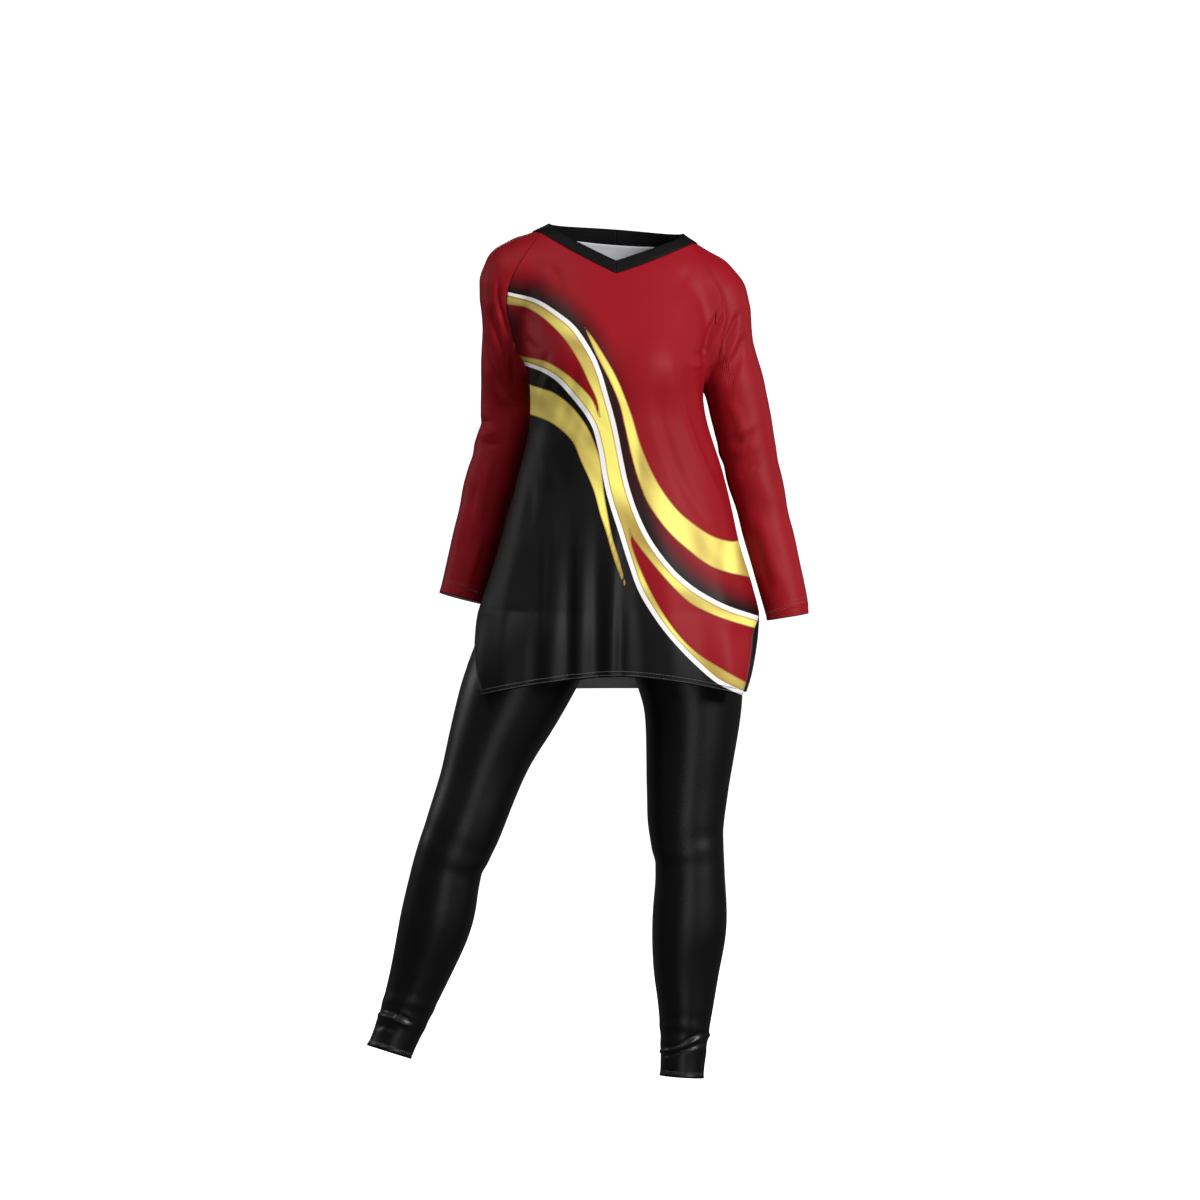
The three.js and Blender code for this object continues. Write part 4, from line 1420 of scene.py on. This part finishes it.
@dataclass
class Sleeve:
    """A raglan sleeve from the neckline to its turned cuff."""

    side: Side
    finish: Finishes
    around: int = 112
    rows: int = 190
    tuck: float = 11.0  # how far the sleeve runs on under the bodice's seam
    stitch_insets: tuple[float, float] = (16.0, 19.0)  # from the cuff's edge

    def build(self) -> tuple[Array, Array]:
        """Work out the sleeve's grid: columns run down the arm, each from the raglan seam.

        Returns:
            The grid of points and its normals.
        """
        arm = ARMS[self.side]
        turn = np.linspace(-math.pi, math.pi, self.around, endpoint=False)
        steps = np.linspace(1.0, 0.005, 260)
        whole = self._skin(arm, np.broadcast_to(steps[:, None], (260, self.around)), turn)
        x, z = np.abs(whole[..., 0]), whole[..., 2]
        limit = seam_x(z) - self.tuck - 60 * (1 - smooth(z, ARMPIT - 16, ARMPIT + 6))
        limit = limit - 22 * smooth(whole[..., 1], 30, 50) * (1 - smooth(z, 190, 215))
        beyond = ((x < limit) & (z > 100)) | (z > neck_height(x, Face.BACK) + 6) & (x < NECK_HALF_WIDTH + 6)
        first = np.where(beyond.any(axis=0), beyond.argmax(axis=0), len(steps) - 1)
        end = steps[first]
        for _ in range(5):
            end = (np.roll(end, 1) + 2 * end + np.roll(end, -1)) / 4
        t = 1 - (1 - end)[None, :] * np.linspace(0, 1, self.rows)[:, None]
        points = self._skin(arm, t, turn)
        normal = grid_normals(np.concatenate([points, points[:, :1]], axis=1))[:, :-1]
        centre, _ = arm.at(t)
        outward = np.sign(np.sum(normal * (points - centre), axis=-1).mean())
        normal = normal * outward
        under = 1 - smooth(np.abs(points[..., 0]) - seam_x(points[..., 2]), -1.0, 9.0)
        lift = self.folds(t, turn, points) * (1 - under) - 1.1 * under * smooth(points[..., 2], 90, 120)
        points = points + normal * lift[..., None]
        points = lean(points)
        normal = grid_normals(np.concatenate([points, points[:, :1]], axis=1))[:, :-1] * outward
        return points, normal

    def _skin(self, arm: Limb, t: Array, turn: Array) -> Array:
        """Points round the arm, pushed out where the shoulder joins the bodice.

        Args:
            arm: The arm.
            t: Shares of the arm.
            turn: Turns round it in radians.

        Returns:
            The points.
        """
        centre, radius = arm.at(t)
        _, side, back = arm.axes(t)
        ray = side * np.cos(turn)[None, :, None] + back * np.sin(turn)[None, :, None]
        low, high = radius * 0.9, radius * 1.38
        low, high = halve(lambda reach: FORM.depth(centre + ray * reach[..., None], arm) > 0, low, high, 14)
        return centre + ray * ((low + high) / 2)[..., None]

    def folds(self, t: Array, turn: Array, points: Array) -> Array:
        """The height of the sleeve's folds: slack rings at the elbow, creases at the armpit and cuff.

        Args:
            t: Shares of the arm.
            turn: Turns round it.
            points: The plain points.

        Returns:
            Heights along the normals.
        """
        z = points[..., 2]
        s = self.side.value
        lap = np.broadcast_to(turn, t.shape)
        elbow = 45.0 if self.side is Side.RIGHT else 25.0
        slack = np.sin((z - elbow) / 8.5 + 1.4 * np.sin(lap + 0.6)) * bump(z, elbow, 26)
        rings = (
            1.9 * slack * (0.55 + 0.45 * np.cos(lap - 0.8))
            + 1.1 * np.sin((z + 40) / 15 + 1.1 * np.sin(2 * lap)) * bump(z, elbow - 70, 60)
            + 0.8 * np.sin((z - 150) / 17 - 1.3 * np.sin(lap)) * bump(z, 150, 60)
        )
        centre, _ = ARMS[self.side].at(t)
        front = smooth(centre[..., 1] - points[..., 1], -14, 22)
        pull = lifted(SLEEVE_FOLDS[self.side], points[..., 0], z) * front
        cuff = 0.8 * (1 - smooth(np.abs(1 - t), 0.0, 0.035))
        cuff = cuff + 0.5 * np.sin(3 * lap + s) * smooth(t, 0.86, 1.0)
        return rings + pull + cuff

    def make(self) -> bpy.types.Object:
        """Make the sleeve and its cuff stitches.

        Returns:
            The sleeve.
        """
        points, normal = self.build()
        rows, around = points.shape[:2]
        ring = np.concatenate([points, points[:, :1]], axis=1)
        word = self.side.word
        faces = grid_faces(rows, around, closed=True)
        if self._turned(points):
            faces = faces[:, ::-1]
        piece = keep_piece(
            f"{word}_raglan_sleeve", points.reshape(-1, 3), faces, self.finish.red, None,
            cloth_uv(ring)[:, :-1].reshape(-1, 2),
        )  # fmt: skip
        thicken(piece, self.finish.reverse)
        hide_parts(f"{word}_shoulder", f"{word}_sleeve", f"{word}_cuff_hem")
        declare(piece, ring)
        self.bend(piece)
        step = np.linalg.norm(points[1] - points[0], axis=-1).mean()
        wrapped, wrapped_normal = (np.concatenate([grid, grid[:, :2]], axis=1) for grid in (points, normal))
        lines = []
        for inset in self.stitch_insets:
            at = np.stack([np.full(around + 1, inset / step), np.arange(around + 1.0)], axis=-1)
            lines.append((bilinear(wrapped, at), bilinear(wrapped_normal, at)))
        sew(f"{word}_cuff_stitches", lines, self.finish.red_thread, f"{word}_sleeve_cloth")
        return piece

    def _turned(self, points: Array) -> bool:
        """Whether the grid's quads face inwards, from the first quads and the arm's middle."""
        quad = np.cross(points[0, 1] - points[0, 0], points[1, 0] - points[0, 0])
        return bool(quad @ (points[0, 0] - points[0].mean(axis=0)) < 0)

    def bend(self, piece: bpy.types.Object) -> None:
        """Bake the sleeve's placement into its points."""
        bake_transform(piece)


@dataclass
class Neckband:
    """One half of the V neckband: a folded rib band, mitred at the V and joined at the back."""

    side: Side
    finish: Finishes
    height: float = 20.0
    columns: int = 120
    puff: float = 1.5

    def outline(self) -> tuple[Array, Array]:
        """The lower and upper edges of the band, from the V round to the middle of the back.

        Returns:
            The points of both edges.
        """
        edges = []
        for lift in (0.0, 1.0):
            halves = []
            for face in (Face.FRONT, Face.BACK):
                psi = self.side.value * np.linspace(0, math.pi / 2, self.columns // 2)
                z = np.full(psi.shape, 350.0)
                for _ in range(14):
                    x = FORM.bodice(psi, z, face)[..., 0]
                    goal = neck_height(x, face) + lift * self._rise(psi, face)
                    z = 0.4 * z + 0.6 * goal
                points = FORM.bodice(psi, z, face)
                halves.append(points if face is Face.FRONT else points[::-1][1:])
            edges.append(np.vstack(halves))
        return edges[0], edges[1]

    def _rise(self, psi: Array, face: Face) -> Array:
        """How far the band's top stands over its seam: less at the shoulder than at the V."""
        mid = self.height if face is Face.FRONT else self.height + 4
        return mid + (16 - mid) * np.abs(np.sin(psi)) ** 2

    def make(self) -> bpy.types.Object:
        """Make the half band as a flattened loop carried along the neckline.

        Returns:
            The band.
        """
        low, high = self.outline()
        low, high = lean(low), lean(high)
        up = high - low
        along = np.gradient(low, axis=0)
        out = np.cross(along, up)
        out /= np.linalg.norm(out, axis=-1, keepdims=True)
        if np.mean(out[: len(out) // 2, 1]) > 0:
            out = -out
        bend = np.linspace(-math.pi, math.pi, 25)
        rise = 0.5 + 0.52 * np.cos(bend)
        stand = self.puff * np.sign(bend) * np.abs(np.sin(bend)) ** 0.55
        fold = low[:, None] + up[:, None] * rise[None, :, None]
        fold = fold + out[:, None] * (np.where(stand > 0, stand, 0.6 * stand) + 0.3)[None, :, None]
        rows, across = fold.shape[:2]
        faces = grid_faces(rows, across)
        quad = np.cross(fold[40, 17] - fold[40, 16], fold[41, 16] - fold[40, 16])
        if quad @ out[40] < 0:
            faces = faces[:, ::-1]
        word = self.side.word
        piece = keep_piece(
            f"neckband_{word}_half", fold.reshape(-1, 3), faces, self.finish.rib, "tunic",
            cloth_uv(fold).reshape(-1, 2),
        )  # fmt: skip
        thicken(piece, self.finish.rib)
        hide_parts(f"neckband_{word}")
        declare(piece, fold)
        return piece


# ---------------------------------------------------------------- leggings


@dataclass
class Legging:
    """One side of the leggings, from under the waistband to its turned ankle hem."""

    side: Side
    finish: Finishes
    around: int = 128
    rows: int = 300
    waist: float = -37.0
    stitch_insets: tuple[float, float] = (6.0, 8.5)  # from the ankle's edge

    def build(self) -> tuple[Array, Array]:
        """Work out the cloth: rows go down from the waist, columns round the leg.

        Above the crotch a row runs from the middle of the front round the hip to the middle of the
        back. Below it the row closes at the inside of the leg.

        Returns:
            The grid of points and its normals.
        """
        leg = LEGS[self.side]
        s = self.side.value
        steps = np.linspace(0, 1, 500)
        centres, _ = leg.at(steps)
        z = np.linspace(self.waist, centres[-1, 2], self.rows)
        t = np.interp(-z, -centres[:, 2], steps)
        axis, _ = leg.at(t)
        above = z > leg.stations[0][2]
        axis[above, :2] = leg.stations[0][:2]
        axis[:, 2] = z
        _, side, back = leg.axes(t)
        tilt = smooth(-z, 270, 400)[:, None]
        side = np.array([1.0, 0.0, 0.0]) * (1 - tilt) + side * np.sign(side[:, :1]) * tilt
        back = np.array([0.0, 1.0, 0.0]) * (1 - tilt) + back * np.sign(back[:, 1:2]) * tilt
        share = np.linspace(0, 1, self.around)
        front_end, back_end = self._ends(z, axis)
        turn = front_end[:, None] + (back_end - front_end)[:, None] * share
        ray = side[:, None] * np.cos(turn)[..., None] * s + back[:, None] * np.sin(turn)[..., None]
        low, high = np.full(turn.shape, 10.0), np.full(turn.shape, 260.0)

        def past(reach: Array) -> Array:
            return self._depth(axis[:, None] + ray * reach[..., None], z[:, None]) > 0

        low, high = halve(past, low, high, 14)
        reach = (low + high) / 2
        even = reach
        for _ in range(3):
            even = np.pad(even, ((6, 6), (0, 0)), mode="edge")
            even = sum(even[k : k + len(reach)] for k in range(13)) / 13
        below = smooth(-z, 290, 340)[:, None]
        points = axis[:, None] + ray * (reach + (even - reach) * below)[..., None]
        normal = grid_normals(points)
        middle = points[:, self.around // 2]
        if np.sum(normal[:, self.around // 2] * (middle - points.mean(axis=1))) < 0:
            normal = -normal
        points = points + normal * self.folds(z, share, points)[..., None]
        if self.side is Side.RIGHT:
            points[..., 2] += 0.13 * (points[..., 0] - axis[:, None, 0]) * smooth(-z, 850, 905)[:, None]
        return points, normal

    def _depth(self, points: Array, z: Array) -> Array:
        """How far points stand off this side of the leggings, negative inside.

        Args:
            points: The points.
            z: The heights of their rows, which say whether the hips count.

        Returns:
            The depths.
        """
        own = LEGS[self.side].depth(points)
        return np.where(z > CROTCH, joined(own, HIPS.depth(points), 16.0), own)

    def _ahead(self, y: Array, z: Array, face: Face) -> Array:
        """Points on the middle line of one face, by their distance from the middle of the body."""
        return np.stack([0 * z, face.value * y, z], axis=-1)

    def _ends(self, z: Array, axis: Array) -> tuple[Array, Array]:
        """The turns where rows start and end, from the middle of the front to that of the back.

        Args:
            z: The heights of the rows.
            axis: The points that the turns are about.

        Returns:
            The first and the last turn of each row; below the crotch, a whole turn.
        """
        ends = []
        for face in Face:
            low, high = np.zeros(z.shape), np.full(z.shape, 200.0)
            low, _ = halve(lambda y: self._depth(self._ahead(y, z, face), z) > 0, low, high, 16)
            turn = np.arctan2(face.value * low - axis[:, 1], -self.side.value * axis[:, 0])
            ends.append(np.where(z < CROTCH, face.value * math.pi, turn))
        return ends[0], ends[1]

    def folds(self, depth: Array, share: Array, points: Array) -> Array:
        """The height of the folds: soft rings at the knee and the ankle, a turned hem at the end.

        Args:
            depth: The heights of the rows.
            share: The shares round the leg.
            points: The plain points.

        Returns:
            Heights along the normals.
        """
        z = depth[:, None]
        lap = 2 * math.pi * share[None, :]
        knee = -600.0 if self.side is Side.LEFT else -606.0
        end = float(depth[-1])
        rings = 0.9 * np.sin((z - knee) / 7.5 + 1.5 * np.sin(lap)) * bump(z, knee, 26)
        rings = rings * (0.5 - 0.5 * np.cos(lap + 2.4))
        slope = 12 * np.sin(lap + 0.5)
        rings += 0.7 * np.sin((z - end - slope) / 5.2) * bump(z - slope, end + 62, 22)
        in_front = points[..., 1] < points[..., 1].mean()
        rings += lifted(ANKLE_FOLDS[self.side], points[..., 0], points[..., 2]) * in_front
        long = 0.7 * np.sin(3 * lap + 0.01 * z) * smooth(-z, 330, 460) * (1 - smooth(-z, 820, 880))
        hem = 1.1 * (1 - smooth(z, end + 1, end + 6))
        return rings + long + hem

    def make(self) -> bpy.types.Object:
        """Make the legging and its hem stitches.

        Returns:
            The legging.
        """
        points, normal = self.build()
        rows, around = points.shape[:2]
        word = self.side.word
        faces = grid_faces(rows, around)
        mid = around // 2
        quad = np.cross(points[20, mid + 1] - points[20, mid], points[21, mid] - points[20, mid])
        if quad @ normal[20, mid] < 0:
            faces = faces[:, ::-1]
        piece = keep_piece(
            f"{word}_legging", points.reshape(-1, 3), faces, self.finish.black, None,
            cloth_uv(points).reshape(-1, 2),
        )  # fmt: skip
        thicken(piece, self.finish.black)
        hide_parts(f"{word}_seat", f"{word}_leg", f"{word}_ankle_hem")
        declare(piece, points)
        self.bend(piece)
        step = np.linalg.norm(points[-1] - points[-2], axis=-1).mean()
        lines = []
        for inset in self.stitch_insets:
            at = np.stack([np.full(around, rows - 1 - inset / step), np.arange(float(around))], axis=-1)
            lines.append((bilinear(points, at), bilinear(normal, at)))
        sew(f"{word}_ankle_stitches", lines, self.finish.black_thread, f"{word}_leg_cloth")
        return piece

    def bend(self, piece: bpy.types.Object) -> None:
        """Bake the legging's placement into its points."""
        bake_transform(piece)


# ---------------------------------------------------------------- studio


LIGHTS = (  # name, place and size in metres, watts
    ("key", (3.0, -3.0, 1.2), 1.2, 205),
    ("fill", (-2.2, -2.6, 3.2), 1.4, 85),
    ("bounce", (0.0, -2.8, -0.95), 1.0, 7),
    ("back", (-0.8, 5.2, 1.8), 1.6, 75),
    ("rim_left", (-3.0, 0.9, 0.8), 1.0, 14),
    ("rim_right", (3.0, 1.2, 0.8), 1.0, 8),
)


@dataclass
class Studio:
    """A pale sweep of paper, soft lights and a long lens."""

    floor: float = -1.075
    distance: float = 7.0
    aim: tuple[float, float] = (-0.0253, -0.2025)
    width: float = 1.8984  # metres across the view at the origin

    def make(self) -> None:
        """Build the sweep, the lights, the world and the camera."""
        self._sweep()
        for light in LIGHTS:
            self._light(*light)
        world = bpy.data.worlds.new("studio_white")
        world.use_nodes = True
        world.node_tree.nodes["Background"].inputs[0].default_value = linear("#FFFFFF")
        world.node_tree.nodes["Background"].inputs[1].default_value = 0.08
        bpy.context.scene.world = world
        lens = bpy.data.cameras.new("long_lens")
        lens.sensor_width = 36.0
        lens.lens = 36.0 * self.distance / self.width
        camera = bpy.data.objects.new("camera", lens)
        camera.location = (self.aim[0], -self.distance, self.aim[1])
        camera.rotation_euler = (math.pi / 2, 0, 0)
        bpy.context.scene.collection.objects.link(camera)
        bpy.context.scene.camera = camera
        bpy.context.scene.view_settings.view_transform = "Standard"

    def _light(self, name: str, place: tuple[float, float, float], size: float, watts: float) -> None:
        """Add one square soft box, aimed at the middle of the uniform."""
        data = bpy.data.lights.new(name, "AREA")
        data.size = size
        data.energy = watts
        light = bpy.data.objects.new(name, data)
        light.location = place
        aim = np.array([0.0, 0.0, -0.2]) - np.array(place)
        pitch = math.atan2(math.hypot(aim[0], aim[1]), -aim[2])
        light.rotation_euler = (pitch, 0, math.atan2(aim[1], aim[0]) - math.pi / 2)
        bpy.context.scene.collection.objects.link(light)

    def _sweep(self) -> None:
        """A round floor that curves up into a wall on every side, so that it fills every view."""
        rise = np.linspace(0, math.pi / 2, 16)
        radius, flat = 1.6, 9.0
        reach = np.concatenate([[0.0], flat + radius * np.sin(rise), [flat + radius]])
        z = np.concatenate([[0.0], radius * (1 - np.cos(rise)), [9.0]]) + self.floor
        around = 72
        turn = np.linspace(0, 2 * math.pi, around, endpoint=False)
        height = np.broadcast_to(z[:, None], (len(z), around))
        bowl = np.stack([reach[:, None] * np.cos(turn), reach[:, None] * np.sin(turn), height], axis=-1)
        mesh = bpy.data.meshes.new("paper_sweep")
        mesh.from_pydata(bowl.reshape(-1, 3).tolist(), [], grid_faces(len(z), around, closed=True).tolist())
        mesh.polygons.foreach_set("use_smooth", np.ones(len(mesh.polygons), bool))
        paper = bpy.data.materials.new("white_paper")
        paper.use_nodes = True
        look = {
            "Base Color": linear("#F6F6F6"),
            "Roughness": 0.9,
            "Emission Color": linear("#FFFFFF"),
            "Emission Strength": 1.0,
        }
        for socket, value in look.items():
            paper.node_tree.nodes["Principled BSDF"].inputs[socket].default_value = value
        mesh.materials.append(paper)
        sweep = bpy.data.objects.new("paper_sweep", mesh)
        bpy.context.scene.collection.objects.link(sweep)
        sweep.visible_diffuse = False
        sweep.visible_glossy = False


# ---------------------------------------------------------------- the uniform


def dress_band(finish: Finishes) -> None:
    """Give the waistband's solids their knit and elastic, and the gusset its knit."""
    cloth = {
        "waistband": finish.black,
        "waistband_facing": finish.black,
        "waist_elastic": finish.elastic,
        "crotch_gusset": finish.black,
    }
    for name, material in cloth.items():
        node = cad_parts[name]
        if node.material_slots:
            node.material_slots[0].material = material
        else:
            node.data.materials.append(material)


def main() -> None:
    """Build the studio and then the uniform, piece by piece."""
    logging.basicConfig(level=logging.INFO, format="%(name)s %(relativeCreated)d ms: %(message)s")
    Studio().make()
    finish = Finishes.made()
    for face in Face:
        TunicPanel(face, finish).make()
    for side in Side:
        Sleeve(side, finish).make()
        Neckband(side, finish).make()
        Legging(side, finish).make()
    dress_band(finish)


if __name__ == "__main__":
    main()
